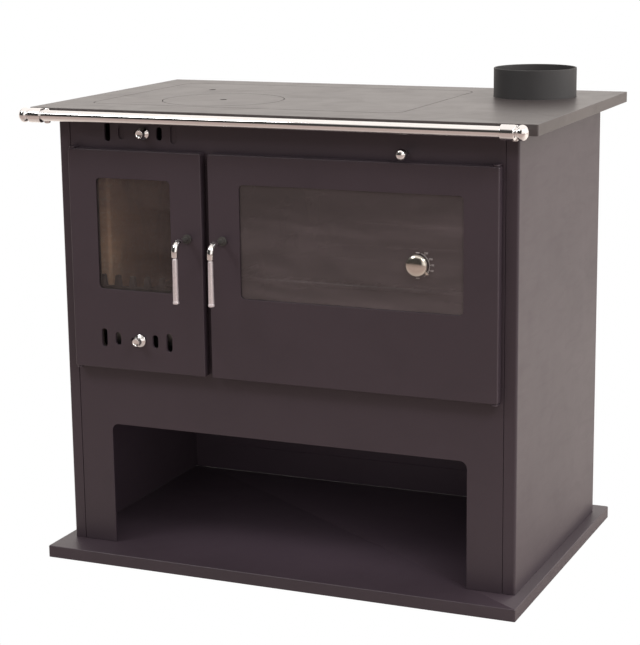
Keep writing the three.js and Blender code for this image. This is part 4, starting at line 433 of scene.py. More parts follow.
def rolled_steel(name, tone, heat, roughness):
    """Bare sheet: rolling grain, mill-scale blotches and browned patches where it gets hot."""
    material, tree, shader, place = new_material(name)
    scale = noise(tree, place, 28, 6, 0.7, 0.4)
    patch = noise(tree, place, 6, 4, 0.55, 0.6)
    grain = noise(tree, stretched(tree, place, (900, 900, 30)), 1, 2)
    tint = blended(tree, ranged(tree, scale, 0, 1, 0.35, 0.7), tone, toned(tone, 0.6))
    tint = blended(tree, ranged(tree, patch, 0, 0.7, 0.5, 0.75), tint, heat)
    gloss = ranged(tree, scale, roughness - 0.1, roughness + 0.15, 0.3, 0.7)
    relief = bumped(tree, scale, 0.05 * MM, 0.5)
    relief = bumped(tree, grain, 0.01 * MM, 0.4, relief)
    connect(tree, shader, Base_Color=tint, Metallic=0.85, Roughness=gloss, Normal=relief)
    return material


def zinc_plate():
    """Zinc-plated steel: pale cells of slightly different tone, with scuffs."""
    material, tree, shader, place = new_material("zinc_plate")
    cells = node(tree, "ShaderNodeTexVoronoi", {"Vector": place, "Scale": 190}).outputs["Color"]
    cell = node(tree, "ShaderNodeSeparateColor", {"Color": cells}).outputs[0]
    scuff = noise(tree, stretched(tree, place, (30, 140, 140)), 2, 5, 0.7)
    tint = blended(tree, cell, (0.36, 0.37, 0.38, 1), (0.55, 0.55, 0.54, 1))
    tint = blended(tree, ranged(tree, scuff, 0, 0.6, 0.5, 0.8), tint, (0.22, 0.21, 0.2, 1))
    gloss = ranged(tree, cell, 0.28, 0.46)
    relief = bumped(tree, scuff, 0.03 * MM, 0.5)
    connect(tree, shader, Base_Color=tint, Metallic=1.0, Roughness=gloss, Normal=relief)
    return material


def sand_cast():
    """Cast iron: grainy from the sand mould, with soot, ash dust and a trace of rust."""
    material, tree, shader, place = new_material("sand_cast_iron")
    grain = noise(tree, place, 750, 4, 0.7)
    pits = node(tree, "ShaderNodeTexVoronoi", {"Vector": place, "Scale": 420}).outputs["Distance"]
    soot = noise(tree, place, 24, 5, 0.6, 0.5)
    rust = noise(tree, place, 60, 6, 0.7, 0.6)
    tint = blended(tree, ranged(tree, soot, 0, 1, 0.35, 0.7), (0.035, 0.033, 0.032, 1), (0.1, 0.095, 0.09, 1))
    tint = blended(tree, ranged(tree, rust, 0, 0.5, 0.58, 0.72), tint, (0.12, 0.055, 0.03, 1))
    relief = bumped(tree, grain, 0.25 * MM, 0.6)
    relief = bumped(tree, ranged(tree, pits, 0, 1, 0, 0.4), 0.2 * MM, 0.5, relief)
    gloss = ranged(tree, grain, 0.55, 0.85)
    connect(tree, shader, Base_Color=tint, Metallic=0.35, Roughness=gloss, Normal=relief)
    return material


def fire_brick():
    """Buff firebrick: coarse grog, pinholes and soot in upright streaks."""
    material, tree, shader, place = new_material("buff_firebrick")
    grog = node(tree, "ShaderNodeTexVoronoi", {"Vector": place, "Scale": 260}).outputs["Color"]
    speck = node(tree, "ShaderNodeSeparateColor", {"Color": grog}).outputs[1]
    cloud = noise(tree, place, 18, 5, 0.65, 0.4)
    soot = noise(tree, stretched(tree, place, (9, 9, 4)), 1.4, 6, 0.6, 1)
    pores = noise(tree, place, 900, 3, 0.8)
    tint = blended(tree, cloud, (0.62, 0.36, 0.22, 1), (0.8, 0.56, 0.38, 1))
    tint = blended(tree, ranged(tree, speck, 0, 0.5, 0.6, 1), tint, (0.78, 0.68, 0.52, 1))
    tint = blended(tree, ranged(tree, soot, 0, 0.5, 0.52, 0.74), tint, (0.16, 0.11, 0.09, 1))
    relief = bumped(tree, pores, 0.35 * MM, 0.7)
    relief = bumped(tree, cloud, 1.2 * MM, 0.4, relief)
    connect(tree, shader, Base_Color=tint, Roughness=0.95, Normal=relief)
    return material


def rope():
    """Glass-fibre rope: grey fibres with dusty high spots."""
    material, tree, shader, place = new_material("woven_seal_rope")
    fibre = noise(tree, place, 1600, 3, 0.8)
    dust = noise(tree, place, 90, 4, 0.6)
    tint = blended(tree, fibre, (0.06, 0.057, 0.052, 1), (0.16, 0.152, 0.14, 1))
    tint = blended(tree, ranged(tree, dust, 0, 0.5, 0.5, 0.75), tint, (0.26, 0.245, 0.22, 1))
    relief = bumped(tree, fibre, 0.2 * MM, 0.7)
    connect(tree, shader, Base_Color=tint, Roughness=0.95, Sheen_Weight=0.3, Normal=relief)
    return material


def enamel():
    """Dark oven enamel with pale flecks under a wavy gloss."""
    material, tree, shader, place = new_material("speckled_enamel")
    cells = node(tree, "ShaderNodeTexVoronoi", {"Vector": place, "Scale": 330, "Randomness": 1.0})
    fleck = ranged(tree, cells.outputs["Distance"], 1, 0, 0.08, 0.2)
    chosen = node(tree, "ShaderNodeSeparateColor", {"Color": cells.outputs["Color"]}).outputs[0]
    seen = node(tree, "ShaderNodeMath", {0: chosen, 1: 0.62}, operation="GREATER_THAN").outputs[0]
    amount = node(tree, "ShaderNodeMath", {0: fleck, 1: seen}, operation="MULTIPLY").outputs[0]
    tint = blended(tree, amount, (0.014, 0.015, 0.019, 1), (0.075, 0.075, 0.08, 1))
    wave = noise(tree, place, 70, 2)
    gloss = ranged(tree, noise(tree, place, 9, 4, 0.6), 0.16, 0.34, 0.35, 0.7)
    connect(tree, shader, Base_Color=tint, Roughness=gloss, Normal=bumped(tree, wave, 0.12 * MM, 0.5))
    return material


WIPE_SLANT = math.radians(18)


def smoked_glass(name, film, clear, shade):
    """Heat-proof ceramic glass, lightly smoked, wiped in slanting strokes through an ash film.

    A painted shade darkens the pane towards its top left, down to the given share of its tone.
    """
    material, tree, shader, place = new_material(name)
    axes = node(tree, "ShaderNodeSeparateXYZ", {"Vector": place}).outputs
    # ramp that rises towards the pane's top left and carries the painted shade
    edge = axes["Z"]
    for part, weight in ((axes["X"], -0.35), (noise(tree, place, 6, 4, 0.6, 1.2), 0.16)):
        inputs = {0: part, 1: weight, 2: edge}
        edge = node(tree, "ShaderNodeMath", inputs, operation="MULTIPLY_ADD").outputs[0]
    slant = {"Vector": place, "Rotation": (0, WIPE_SLANT, 0), "Scale": (2, 1, 13)}
    stroke = noise(tree, node(tree, "ShaderNodeMapping", slant).outputs["Vector"], 1.3, 5, 0.6, 0.5)
    haze = noise(tree, place, 9, 5, 0.6, 0.7)
    tint = blended(tree, ranged(tree, stroke, 0, 1, 0.35, 0.65), toned(film, 0.55), film)
    # painted shade: the tint darkens towards the top left, down to the share given as shade
    tint = blended(tree, ranged(tree, edge, 0, 1, 0.6, 0.72), tint, toned(film, shade))
    cover = ranged(tree, stroke, clear - 0.1, clear + 0.12, 0.35, 0.65)
    gloss = ranged(tree, haze, 0.02, 0.07, 0.3, 0.7)
    connect(tree, shader, Base_Color=tint, Roughness=gloss, IOR=1.9, Alpha=cover)
    return material


def printed_ink():
    """Pale screen-printed ink, thin enough to show small gaps."""
    material, tree, shader, place = new_material("printed_scale_ink")
    worn = noise(tree, place, 900, 3)
    tint = blended(tree, ranged(tree, worn, 0, 0.4, 0.5, 0.8), (0.42, 0.4, 0.4, 1), (0.25, 0.24, 0.24, 1))
    connect(tree, shader, Base_Color=tint, Roughness=0.5, Normal=bumped(tree, worn, 0.01 * MM, 0.4))
    return material


casing_paint = stove_paint("casing_paint", (0.039, 0.0275, 0.036, 1), 0.42)
hob_paint = stove_paint("hob_enamel", (0.05, 0.042, 0.042, 1), 0.36, peel=0.6, smudges=1.4)
flue_paint = stove_paint("flue_paint", (0.024, 0.023, 0.024, 1), 0.62, peel=1.3, smudges=0.6)
chrome = plated("polished_chrome", (0.86, 0.85, 0.85, 1), 0.07)
# painted reflection: the dome's plating is dimmed to a warm beige grey that stands in for the pale floor it
# reflects
reflection_tinted_dome_chrome = plated("reflection_tinted_dome_chrome", (0.68, 0.64, 0.58, 1), 0.17)
satin_chrome = plated("satin_chrome", (0.8, 0.75, 0.78, 1), 0.3, lines=(900, 900, 40), metal=0.6)
inner_steel = rolled_steel("rolled_steel", (0.13, 0.122, 0.115, 1), (0.11, 0.08, 0.055, 1), 0.55)
zinc_steel = zinc_plate()
cast_iron = sand_cast()
firebrick = fire_brick()
rope_seal = rope()
oven_enamel = enamel()
# the last number is the share of tone that the painted shade leaves at each pane's top left
fire_glass = smoked_glass("firebox_glass", (0.068, 0.052, 0.052, 1), 0.27, 0.85)
oven_glass = smoked_glass("oven_glass", (0.09, 0.071, 0.079, 1), 0.62, 0.4)
scale_ink = printed_ink()

# ---------------------------------------------------------------- base and casing

# Sheet with small roundings on every edge, the side panels' folds drawn as true arcs.
EASE = 0.5 * MM
FOLD = 4 * MM
SHEET = 2.5 * MM

eased("base_plate", casing_paint, 0.6 * MM)

for side, name in ((-1, "left_side_panel"), (1, "right_side_panel")):
    low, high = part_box(name)
    outer_x = low.x if side < 0 else high.x
    lip_x = high.x if side < 0 else low.x
    corners = [
        (lip_x, low.y),
        (outer_x, low.y),
        (outer_x, high.y),
        (lip_x, high.y),
        (lip_x, high.y - SHEET),
        (outer_x - side * SHEET, high.y - SHEET),
        (outer_x - side * SHEET, low.y + SHEET),
        (lip_x, low.y + SHEET),
    ]
    folds = [0, FOLD, FOLD, 0, 0, FOLD - SHEET, FOLD - SHEET, 0]
    if side < 0:
        corners, folds = corners[::-1], folds[::-1]
    profile = outline(corners, folds)
    parts = panel(profile, [], edge_rows(low.z, high.z, 0.3 * MM), [], upright=False)
    add_piece(f"{name}_sheet", parts, casing_paint, "casing", [name], flat=True)

# Front strips: the upper one with the register's slots, the lower one round the wood store.
UPPER_AIR = (-0.2405, 0.711)  # middle of the register above the fire door
SLOT_WIDTH = 10.5 * MM
SLOTS = [(-59.5 * MM, 30.5 * MM), (-34 * MM, 21.5 * MM), (34 * MM, 21.5 * MM), (59.5 * MM, 30.5 * MM)]
STEM_WAY = (20.6 * MM, 6.6 * MM)
ROD_HOLE = 3.3 * MM
STORE_HALF = 0.31
STORE_TOP = 0.226
STORE_CORNER = 12 * MM
VISIBLE_HALF = 0.368  # the strips' visible edge beside the flange


def register_slots(middle, height):
    """Outlines of a register's four slots and of the way for the knob's stem."""
    holes = [centred(middle + x, height, SLOT_WIDTH, tall, SLOT_WIDTH) for x, tall in SLOTS]
    return [*holes, centred(middle, height, *STEM_WAY, STEM_WAY[1])]


def hidden_laps(low, high):
    """Strips' stepped edges behind the side flanges, one closed sheet on each side."""
    front = low.y + SHEET + 0.3 * MM
    rows = edge_rows(front, front + SHEET, 0.2 * MM)
    laps = []
    for side in (-1, 1):
        reach = sorted((side * (VISIBLE_HALF - SHEET), side * high.x))
        laps += panel(rectangle(*reach, low.z, high.z), [], rows, [])
    return laps


def casing_sheet(name, parts, node_name):
    """Painted sheet of the casing that stands for one CAD node."""
    add_piece(name, parts, casing_paint, "casing", [node_name], flat=True)


low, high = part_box("upper_front_panel")
damper_place = middle_of("damper_ball")
holes = [*register_slots(*UPPER_AIR), circle(damper_place.x, damper_place.z, ROD_HOLE)]
sheet_rows = edge_rows(low.y, low.y + SHEET, EASE)
strip = rectangle(-VISIBLE_HALF, VISIBLE_HALF, low.z, high.z)
parts = panel(strip, holes, sheet_rows, sheet_rows) + hidden_laps(low, high)
casing_sheet("upper_front_sheet", parts, "upper_front_panel")

low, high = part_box("lower_front_panel")
corners = [
    (-VISIBLE_HALF, low.z),
    (-STORE_HALF, low.z),
    (-STORE_HALF, STORE_TOP),
    (STORE_HALF, STORE_TOP),
    (STORE_HALF, low.z),
    (VISIBLE_HALF, low.z),
    (VISIBLE_HALF, high.z),
    (-VISIBLE_HALF, high.z),
]
strip = outline(corners, [0, 0, STORE_CORNER, STORE_CORNER, 0, 0, 0, 0])
parts = panel(strip, [], sheet_rows, []) + hidden_laps(low, high)
casing_sheet("lower_front_sheet", parts, "lower_front_panel")

for name in ("left_door_post", "right_door_post", "oven_frame"):
    eased(name, casing_paint, EASE)
for door in ("firebox", "oven"):
    for end in ("upper", "lower"):
        eased(f"{door}_hinge_{end}", casing_paint, 0.3 * MM)

# Back panel with the pan-head screws that hold it to the side flanges.
eased("back_panel", casing_paint, 0.6 * MM)
low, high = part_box("right_side_panel")
SCREW_ROWS = 6
screws = []
for side in (-1, 1):
    for z in np.linspace(low.z + 0.05, high.z - 0.05, SCREW_ROWS):
        screws += [screw_head((side * (low.x + 10 * MM), high.y, z), (0, 1, 0), 4 * MM)]
add_piece("back_panel_screws", screws, zinc_steel, "casing")

INNER_SHEETS = (
    "wood_store_ceiling",
    "hearth_shelf",
    "flue_box",
    "damper_rod_guide",
    "soot_cover",
    "firebox_shell",
)
for name in INNER_SHEETS:
    eased(name, inner_steel, 0.3 * MM)

# ---------------------------------------------------------------- hob

# Plate, lift-out insert and round lid, each with a softly broken edge round its seam.
low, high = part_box("hob_plate")
insert_low, insert_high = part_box("hob_insert")
flue_low, flue_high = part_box("flue_collar")
flue_middle = middle_of("flue_collar")
lid_middle = middle_of("hob_lid")
lid_radius = (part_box("hob_lid")[1].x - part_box("hob_lid")[0].x) / 2
top = high.z
plate_bottom = top - 6 * MM
SEAM = 1.2 * MM
LEDGE = 6 * MM
INSERT_CORNER = 25 * MM
SKIRT = 4 * MM
FLUE_OUTER = 68 * MM
LIFT_RADIUS = 6 * MM
LIFT_DEPTH = 3.5 * MM

insert_edge = rectangle(insert_low.x, insert_high.x, insert_low.y, insert_high.y, INSERT_CORNER, 13)
flue_edge = circle(flue_middle.x, flue_middle.y, FLUE_OUTER, 25)
rim = edge_rows(top, plate_bottom, 0.8 * MM, 4)
skirt_rows = rim[:5] + [(0, low.z + 0.6 * MM), (0.6 * MM, low.z), (SKIRT, low.z), (SKIRT, plate_bottom)]
seat_rows = [(inset + SEAM, depth) for inset, depth in rim[:5]] + [
    (SEAM, plate_bottom),
    (-LEDGE, plate_bottom),
    (-LEDGE, plate_bottom - LEDGE),
    (SEAM + LEDGE, plate_bottom - LEDGE),
    (SEAM + LEDGE, plate_bottom - 0.1 * MM),
]
hob_edge = rectangle(low.x, high.x, low.y, high.y, 3 * MM)


def hob_parts():
    """Hob plate as rings from its top, down its skirt and holes, to the hollow underside."""
    collar_rows = [(inset + 0.3 * MM, z) for inset, z in rim[:5]] + [(0.3 * MM, plate_bottom)]
    edges = ((hob_edge, -1, skirt_rows), (insert_edge, 1, seat_rows), (flue_edge, 1, collar_rows))
    chains = [[level(grown(edge, way * inset), z) for inset, z in rows] for edge, way, rows in edges]
    parts = [rings_joined(chain) for chain in chains]
    for at in (0, -1):
        loops = [chain[at] for chain in chains]
        triangles = tessellate_polygon([[Vector(point) for point in loop] for loop in loops])
        parts.append((np.concatenate(loops), triangles))
    return parts


add_piece("hob_cooking_plate", hob_parts(), hob_paint, "casing", ["hob_plate"], flat=True)

lid_edge = circle(lid_middle.x, lid_middle.y, lid_radius, 33)
insert_bottom = plate_bottom + 0.3 * MM
insert_rows = edge_rows(top, insert_bottom, 0.7 * MM, 4)
lid_seat = [(inset + SEAM, depth) for inset, depth in insert_rows[:5]] + [
    (SEAM, insert_bottom - 0.3 * MM),
    (-5 * MM, insert_bottom - 0.3 * MM),
    (-5 * MM, insert_low.z),
    (SEAM + 3 * MM, insert_low.z),
    (SEAM + 3 * MM, insert_bottom),
]
LIFT_FROM_CORNER = (95 * MM, 264 * MM)
lift_edge = circle(insert_low.x + LIFT_FROM_CORNER[0], insert_low.y + LIFT_FROM_CORNER[1], LIFT_RADIUS, 9)
lift_rows = [(0.5 * MM, top), (0.15 * MM, top - 0.15 * MM), (0, top - 0.5 * MM), (0, top - LIFT_DEPTH)]
parts = panel(insert_edge, [lid_edge], insert_rows, lid_seat, upright=False, pits=[(lift_edge, lift_rows)])
add_piece("hob_insert_plate", parts, hob_paint, "insert", ["hob_insert"], flat=True)

lid_profile = filleted(
    [
        (0, top - LIFT_DEPTH),
        (LIFT_RADIUS, top - LIFT_DEPTH),
        (LIFT_RADIUS, top),
        (lid_radius, top),
        (lid_radius, insert_bottom),
        (0, insert_bottom),
    ],
    0.7 * MM,
)
disc = turned(lid_profile, (lid_middle.x, lid_middle.y, 0), (0, 0, 1), 128)
add_piece("hob_lid_disc", [disc], hob_paint, "lid", ["hob_lid"], True)

# Flue collar: a plain ring with a rolled rim, and its flange under the plate.
BORE = 65 * MM
flange_top = flue_low.z + 3 * MM
flue_profile = [
    (BORE, flue_low.z),
    (flue_high.x - flue_middle.x, flue_low.z),
    (flue_high.x - flue_middle.x, flange_top),
    (FLUE_OUTER, flange_top),
    (FLUE_OUTER, flue_high.z),
    (BORE, flue_high.z),
    (BORE, flue_low.z),
]
foot = (flue_middle.x, flue_middle.y, 0)
ring = turned(filleted(flue_profile, 1.1 * MM), foot, (0, 0, 1), 128)
add_piece("flue_collar_ring", [ring], flue_paint, "casing", ["flue_collar"])

# ---------------------------------------------------------------- hob rail

# Chromed tube between two turned ends with balls, on brackets at the hob's front edge.
low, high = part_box("rail_tube")
rail = middle_of("rail_tube")
RAIL_RADIUS = (high.z - low.z) / 2
tube_rows = filleted([(0, low.x), (RAIL_RADIUS, low.x), (RAIL_RADIUS, high.x), (0, high.x)], 0.5 * MM)
tube = turned(tube_rows, (0, rail.y, rail.z), (1, 0, 0))
add_piece("rail_bar", [tube], chrome, "casing", ["rail_tube"])

COLLAR = 11.5 * MM
NECK = 6.5 * MM
BALL = 11.8 * MM
BALL_HALF_LENGTH = 9 * MM
COLLAR_LENGTH = 24 * MM
SOCKET = 14 * MM
for side, name in ((-1, "rail_end_left"), (1, "rail_end_right")):
    low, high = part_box(name)
    start = high.x if side < 0 else low.x
    ball_middle = high.x - low.x - BALL_HALF_LENGTH
    neck_meets = math.pi - math.asin(NECK / BALL)
    body_rows = filleted(
        [
            (RAIL_RADIUS + 0.3 * MM, SOCKET),
            (RAIL_RADIUS + 0.3 * MM, 0),
            (COLLAR, 0),
            (COLLAR, COLLAR_LENGTH - 3.6 * MM),
            (COLLAR - 1.4 * MM, COLLAR_LENGTH - 2.2 * MM),
            (NECK + 1.2 * MM, COLLAR_LENGTH - 1.8 * MM),
            (NECK, COLLAR_LENGTH - 0.6 * MM),
            (BALL * math.sin(neck_meets), ball_middle + BALL_HALF_LENGTH * math.cos(neck_meets)),
        ],
        0.8 * MM,
    )
    ball_rows = [
        (BALL * math.sin(a), ball_middle + BALL_HALF_LENGTH * math.cos(a))
        for a in np.linspace(neck_meets, 0, 25)
    ]
    profile = [(0, SOCKET), *body_rows, *ball_rows[1:]]
    parts = [turned(profile, (start, rail.y, rail.z), (side, 0, 0))]
    add_piece(f"{name}_turning", parts, chrome, "casing", [name])

for name in ("rail_bracket_left", "rail_bracket_right"):
    eased(name, chrome, 0.7 * MM)

# ---------------------------------------------------------------- damper and air registers

# Ball on its rod, and the two sliders with their turned knobs.
low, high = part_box("damper_ball")
ball_radius = (high.x - low.x) / 2
ball_middle = low.y + ball_radius
ferrule_end = ball_middle - high.y
FERRULE = 4.6 * MM
BALL_ENDS = 2.6  # radians from the ball's front to its ferrule
ferrule = [(FERRULE, ferrule_end), (ROD_HOLE, ferrule_end), (ROD_HOLE, -2 * MM), (0, -2 * MM)]
swing = np.linspace(0, BALL_ENDS, 40)
rows = [(0, ball_radius), *((ball_radius * math.sin(a), ball_radius * math.cos(a)) for a in swing), *ferrule]
parts = [turned(rows, (damper_place.x, ball_middle, damper_place.z), (0, -1, 0), 64)]
add_piece("damper_knob", parts, chrome, "damper", ["damper_ball"])
eased("damper_rod", zinc_steel, 0.3 * MM)

KNOB_BASE = 10.5 * MM
KNOB_FACE = 6.5 * MM
KNOB_STEM = 3 * MM
KNOB_OUT = 16.4 * MM  # face in front of the foot
for name, body in (("upper_air_knob", "upper_air"), ("lower_air_knob", "lower_air")):
    low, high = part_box(name)
    place = middle_of(name)
    tip = high.y - low.y
    base = tip - KNOB_OUT
    rows = filleted(
        [
            (0, 0),
            (KNOB_STEM, 0),
            (KNOB_STEM, base),
            (KNOB_BASE, base),
            (KNOB_BASE, base + 2.6 * MM),
            (KNOB_BASE - 1.6 * MM, base + 3.6 * MM),
            (KNOB_FACE - 1.0 * MM, base + 6.2 * MM),
            (KNOB_FACE - 1.3 * MM, tip - 5 * MM),
            (KNOB_FACE, tip - 3.4 * MM),
            (KNOB_FACE, tip),
            (KNOB_FACE - 1.3 * MM, tip),
            (KNOB_FACE - 2.2 * MM, tip - 1.2 * MM),
            (0, tip - 1.5 * MM),
        ],
        0.7 * MM,
    )
    parts = [turned(rows, (place.x, high.y, place.z), (0, -1, 0), 56)]
    add_piece(f"{name}_turning", parts, chrome, body, [name])
for name in ("upper_air_slider", "lower_air_slider"):
    eased(name, casing_paint, 0.2 * MM)

# ---------------------------------------------------------------- doors

# Pressed shells with rolled edges round the glass, their liners, panes and braided seals.
DOOR_BEND = 2.2 * MM
LAP = 12 * MM
WINDOW_CORNER = 7 * MM
LOWER_AIR = (-0.2485, 0.3765)
WINDOWS = {"firebox": (-0.314, -0.181, 0.458, 0.639), "oven": (-0.060, 0.309, 0.458, 0.639)}
HANDLE_X = {"firebox": -0.151, "oven": -0.089}
HANDLE_Z = 0.5485
SPINDLE_HOLE = 4.4 * MM
OPENINGS = {"firebox": (-0.349, -0.141, 0.346, 0.664), "oven": (-0.099, 0.334, 0.440, 0.664)}
SEAL_RADIUS = 4 * MM
SEAL_OFFSET = 7 * MM
PIN_INSET = 6 * MM
PIN_DEPTH = 5.5 * MM
PIN_HOLE = 2.8 * MM
HINGE_NOTCH = (9 * MM, 6 * MM)
STEM_HOLE = 4.3 * MM
PANE_SCREWS = {"firebox": 3, "oven": 5}  # in each of the two rows


def drilled(piece, drills):
    """Cuts upright round holes, (x, y, z, radius, depth), out of a piece's mesh."""
    shape = bmesh.new()
    for x, y, z, radius, depth in drills:
        place = Matrix.Translation((x, y, z))
        bmesh.ops.create_cone(
            shape, cap_ends=True, segments=24, radius1=radius, radius2=radius, depth=depth, matrix=place
        )
    tool_mesh = bpy.data.meshes.new("drill")
    shape.to_mesh(tool_mesh)
    shape.free()
    tool = bpy.data.objects.new("drill", tool_mesh)
    bpy.context.scene.collection.objects.link(tool)
    cutting = piece.modifiers.new("drill", "BOOLEAN")
    cutting.object = tool
    cutting.solver = "EXACT"
    piece.modifiers.move(len(piece.modifiers) - 1, 0)
    piece.modifiers[1].show_viewport = False
    drilled_mesh = bpy.data.meshes.new_from_object(piece.evaluated_get(bpy.context.evaluated_depsgraph_get()))
    piece.modifiers[1].show_viewport = True
    piece.modifiers.remove(cutting)
    piece.data = drilled_mesh
    bpy.data.objects.remove(tool)


def braid(length, sides, strands=4, pitch=9 * MM, rows_per_pitch=14):
    """Radius of a braided rope over its length and round it: two crossing sets of strands."""
    rows = int(length / pitch) * rows_per_pitch
    along = np.arange(rows)[:, None] * 2 * math.pi / rows_per_pitch
    turn = np.linspace(0, 2 * math.pi, sides, endpoint=False)[None, :]
    left = np.abs(np.cos((strands * turn + along) / 2)) ** 0.7
    right = np.abs(np.cos((strands * turn - along) / 2)) ** 0.7
    over = np.sin(along + 2 * turn) > 0
    return rows, SEAL_RADIUS * (0.84 + 0.16 * np.where(over, left, right))


for door in ("firebox", "oven"):
    low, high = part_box(f"{door}_door_panel")
    body = f"{door}_door"
    window = rectangle(*WINDOWS[door], WINDOW_CORNER, 9)
    spindle = circle(HANDLE_X[door], HANDLE_Z, SPINDLE_HOLE)
    holes = [window, spindle] + (register_slots(*LOWER_AIR) if door == "firebox" else [])
    face = edge_rows(low.y, low.y + 2 * DOOR_BEND, DOOR_BEND, 6)[:7]
    shell_rows = [
        *face,
        (0, high.y - 0.4 * MM),
        (0.4 * MM, high.y),
        (SHEET - 0.4 * MM, high.y),
        (SHEET, high.y - 0.4 * MM),
        (SHEET, low.y + SHEET),
    ]
    edge = rectangle(low.x, high.x, low.z, high.z, 3 * MM)
    parts = panel(edge, holes, shell_rows, edge_rows(low.y, low.y + SHEET, EASE))
    panel_node = f"{door}_door_panel"
    shell = add_piece(f"{door}_door_shell", parts, casing_paint, body, [panel_node], True)
    pin_x = low.x + PIN_INSET if door == "firebox" else high.x - PIN_INSET
    drilled(shell, [(pin_x, low.y + PIN_DEPTH, z, PIN_HOLE, 6 * SHEET) for z in (low.z, high.z)])

    # Liner, notched round the hinge pins, with the screws that clamp the pane.
    low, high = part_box(f"{door}_door_liner")
    hinge_x, free_x = (low.x, high.x) if door == "firebox" else (high.x, low.x)
    notch_x = hinge_x + math.copysign(HINGE_NOTCH[0], free_x - hinge_x)
    notch_low, notch_high = low.z + HINGE_NOTCH[1], high.z - HINGE_NOTCH[1]
    corners = [
        (free_x, low.z),
        (notch_x, low.z),
        (notch_x, notch_low),
        (hinge_x, notch_low),
        (hinge_x, notch_high),
        (notch_x, notch_high),
        (notch_x, high.z),
        (free_x, high.z),
    ]
    if door == "firebox":
        corners.reverse()
    holes = [window, spindle]
    if door == "firebox":
        last_slot, tall = SLOTS[-1]
        holes.append(centred(*LOWER_AIR, 2 * last_slot + SLOT_WIDTH, tall, 8 * MM))
    rows = edge_rows(low.y, high.y, 0.3 * MM)
    parts = panel(outline(corners, 0), holes, rows, rows)
    liner = f"{door}_door_liner"
    add_piece(f"{door}_door_inner_sheet", parts, inner_steel, body, [liner], True)
    x0, x1, z0, z1 = WINDOWS[door]
    heads = []
    for x in np.linspace(x0 - LAP / 2, x1 + LAP / 2, PANE_SCREWS[door]):
        for z in (z0 - 10 * MM, z1 + 10 * MM):
            heads.append(screw_head((x, high.y, z), (0, 1, 0), 3 * MM))
    add_piece(f"{door}_pane_screws", heads, zinc_steel, body)

    # Pane, with a ground edge.
    low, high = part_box(f"{door}_door_glass")
    holes = []
    if door == "oven":
        stem = middle_of("thermometer_stem")
        holes = [circle(stem.x, stem.z, STEM_HOLE)]
    rows = edge_rows(low.y, high.y, 0.5 * MM)
    parts = panel(rectangle(low.x, high.x, low.z, high.z, WINDOW_CORNER), holes, rows, rows)
    pane_glass = fire_glass if door == "firebox" else oven_glass
    add_piece(f"{door}_door_pane", parts, pane_glass, body, [f"{door}_door_glass"], True)

    # Braided rope that seals the door against the front.
    seal = middle_of(f"{door}_door_gasket")
    opening = OPENINGS[door]
    loop = grown(rectangle(*opening, 8 * MM), SEAL_OFFSET)
    steps = np.linalg.norm(np.roll(loop, -1, 0) - loop, axis=1)
    travelled = np.concatenate([[0], np.cumsum(steps)])
    rows, radii = braid(travelled[-1], 20)
    wanted = np.linspace(0, travelled[-1], rows, endpoint=False)
    closed_loop = np.vstack([loop, loop[:1]])
    across, upwards = (np.interp(wanted, travelled, closed_loop[:, axis]) for axis in (0, 1))
    path = np.stack([across, np.full(rows, seal.y), upwards], 1)
    parts = [swept(path, (0, 1, 0), radii, 20, closed=True)]
    add_piece(f"{door}_door_rope", parts, rope_seal, body, [f"{door}_door_gasket"])

# ---------------------------------------------------------------- door handles

# Black spindle and latch, chromed elbow and a satin grip that widens to its foot cap.
NECK_RADIUS = 5.4 * MM
BEND = 14 * MM
END_EASE = 0.7 * MM
for door in ("firebox", "oven"):
    body = f"{door}_handle"
    eased(f"{door}_latch", cast_iron, 0.3 * MM)
    low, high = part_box(f"{door}_handle")
    x = (low.x + high.x) / 2
    axis_z = high.z - NECK_RADIUS
    axis_y = low.y + NECK_RADIUS
    quarter = np.linspace(0, math.pi / 2, 20)
    arc = [(x, axis_y + BEND * (1 - math.sin(a)), axis_z - BEND * (1 - math.cos(a))) for a in quarter]
    path = np.array([(x, high.y, axis_z), *arc, (x, axis_y, low.z)])
    ease_in = np.array([0.0, 0.35, 1.0]) * END_EASE
    start = [path[0] + Vector((0, -step, 0)) for step in ease_in]
    end = [path[-1] + Vector((0, 0, step)) for step in ease_in[::-1]]
    path = np.vstack([start, path[1:-1], end])
    radii = np.full(len(path), NECK_RADIUS)
    radii[:2] = [NECK_RADIUS - END_EASE, NECK_RADIUS - 0.2 * MM]
    radii[-2:] = [NECK_RADIUS - 0.2 * MM, NECK_RADIUS - END_EASE]
    elbow = swept(path, (1, 0, 0), radii, 40)
    add_piece(f"{door}_handle_elbow", [elbow], chrome, body, [f"{door}_handle"])

    low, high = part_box(f"{door}_grip")
    place = middle_of(f"{door}_grip")
    length = high.z - low.z
    rows = filleted(
        [
            (0, 0),
            (4.4 * MM, 0),
            (5.2 * MM, 0.9 * MM),
            (5.2 * MM, 4 * MM),
            (4.4 * MM, 4.6 * MM),
            (4.6 * MM, 6 * MM),
            (4.3 * MM, length * 0.5),
            (4.1 * MM, length - 3 * MM),
            (3.0 * MM, length - 2 * MM),
            (3.0 * MM, length),
            (0, length),
        ],
        0.6 * MM,
    )
    parts = [turned(rows, (place.x, place.y, low.z), (0, 0, 1), 48)]
    add_piece(f"{door}_handle_grip", parts, satin_chrome, body, [f"{door}_grip"])

# ---------------------------------------------------------------- oven thermometer

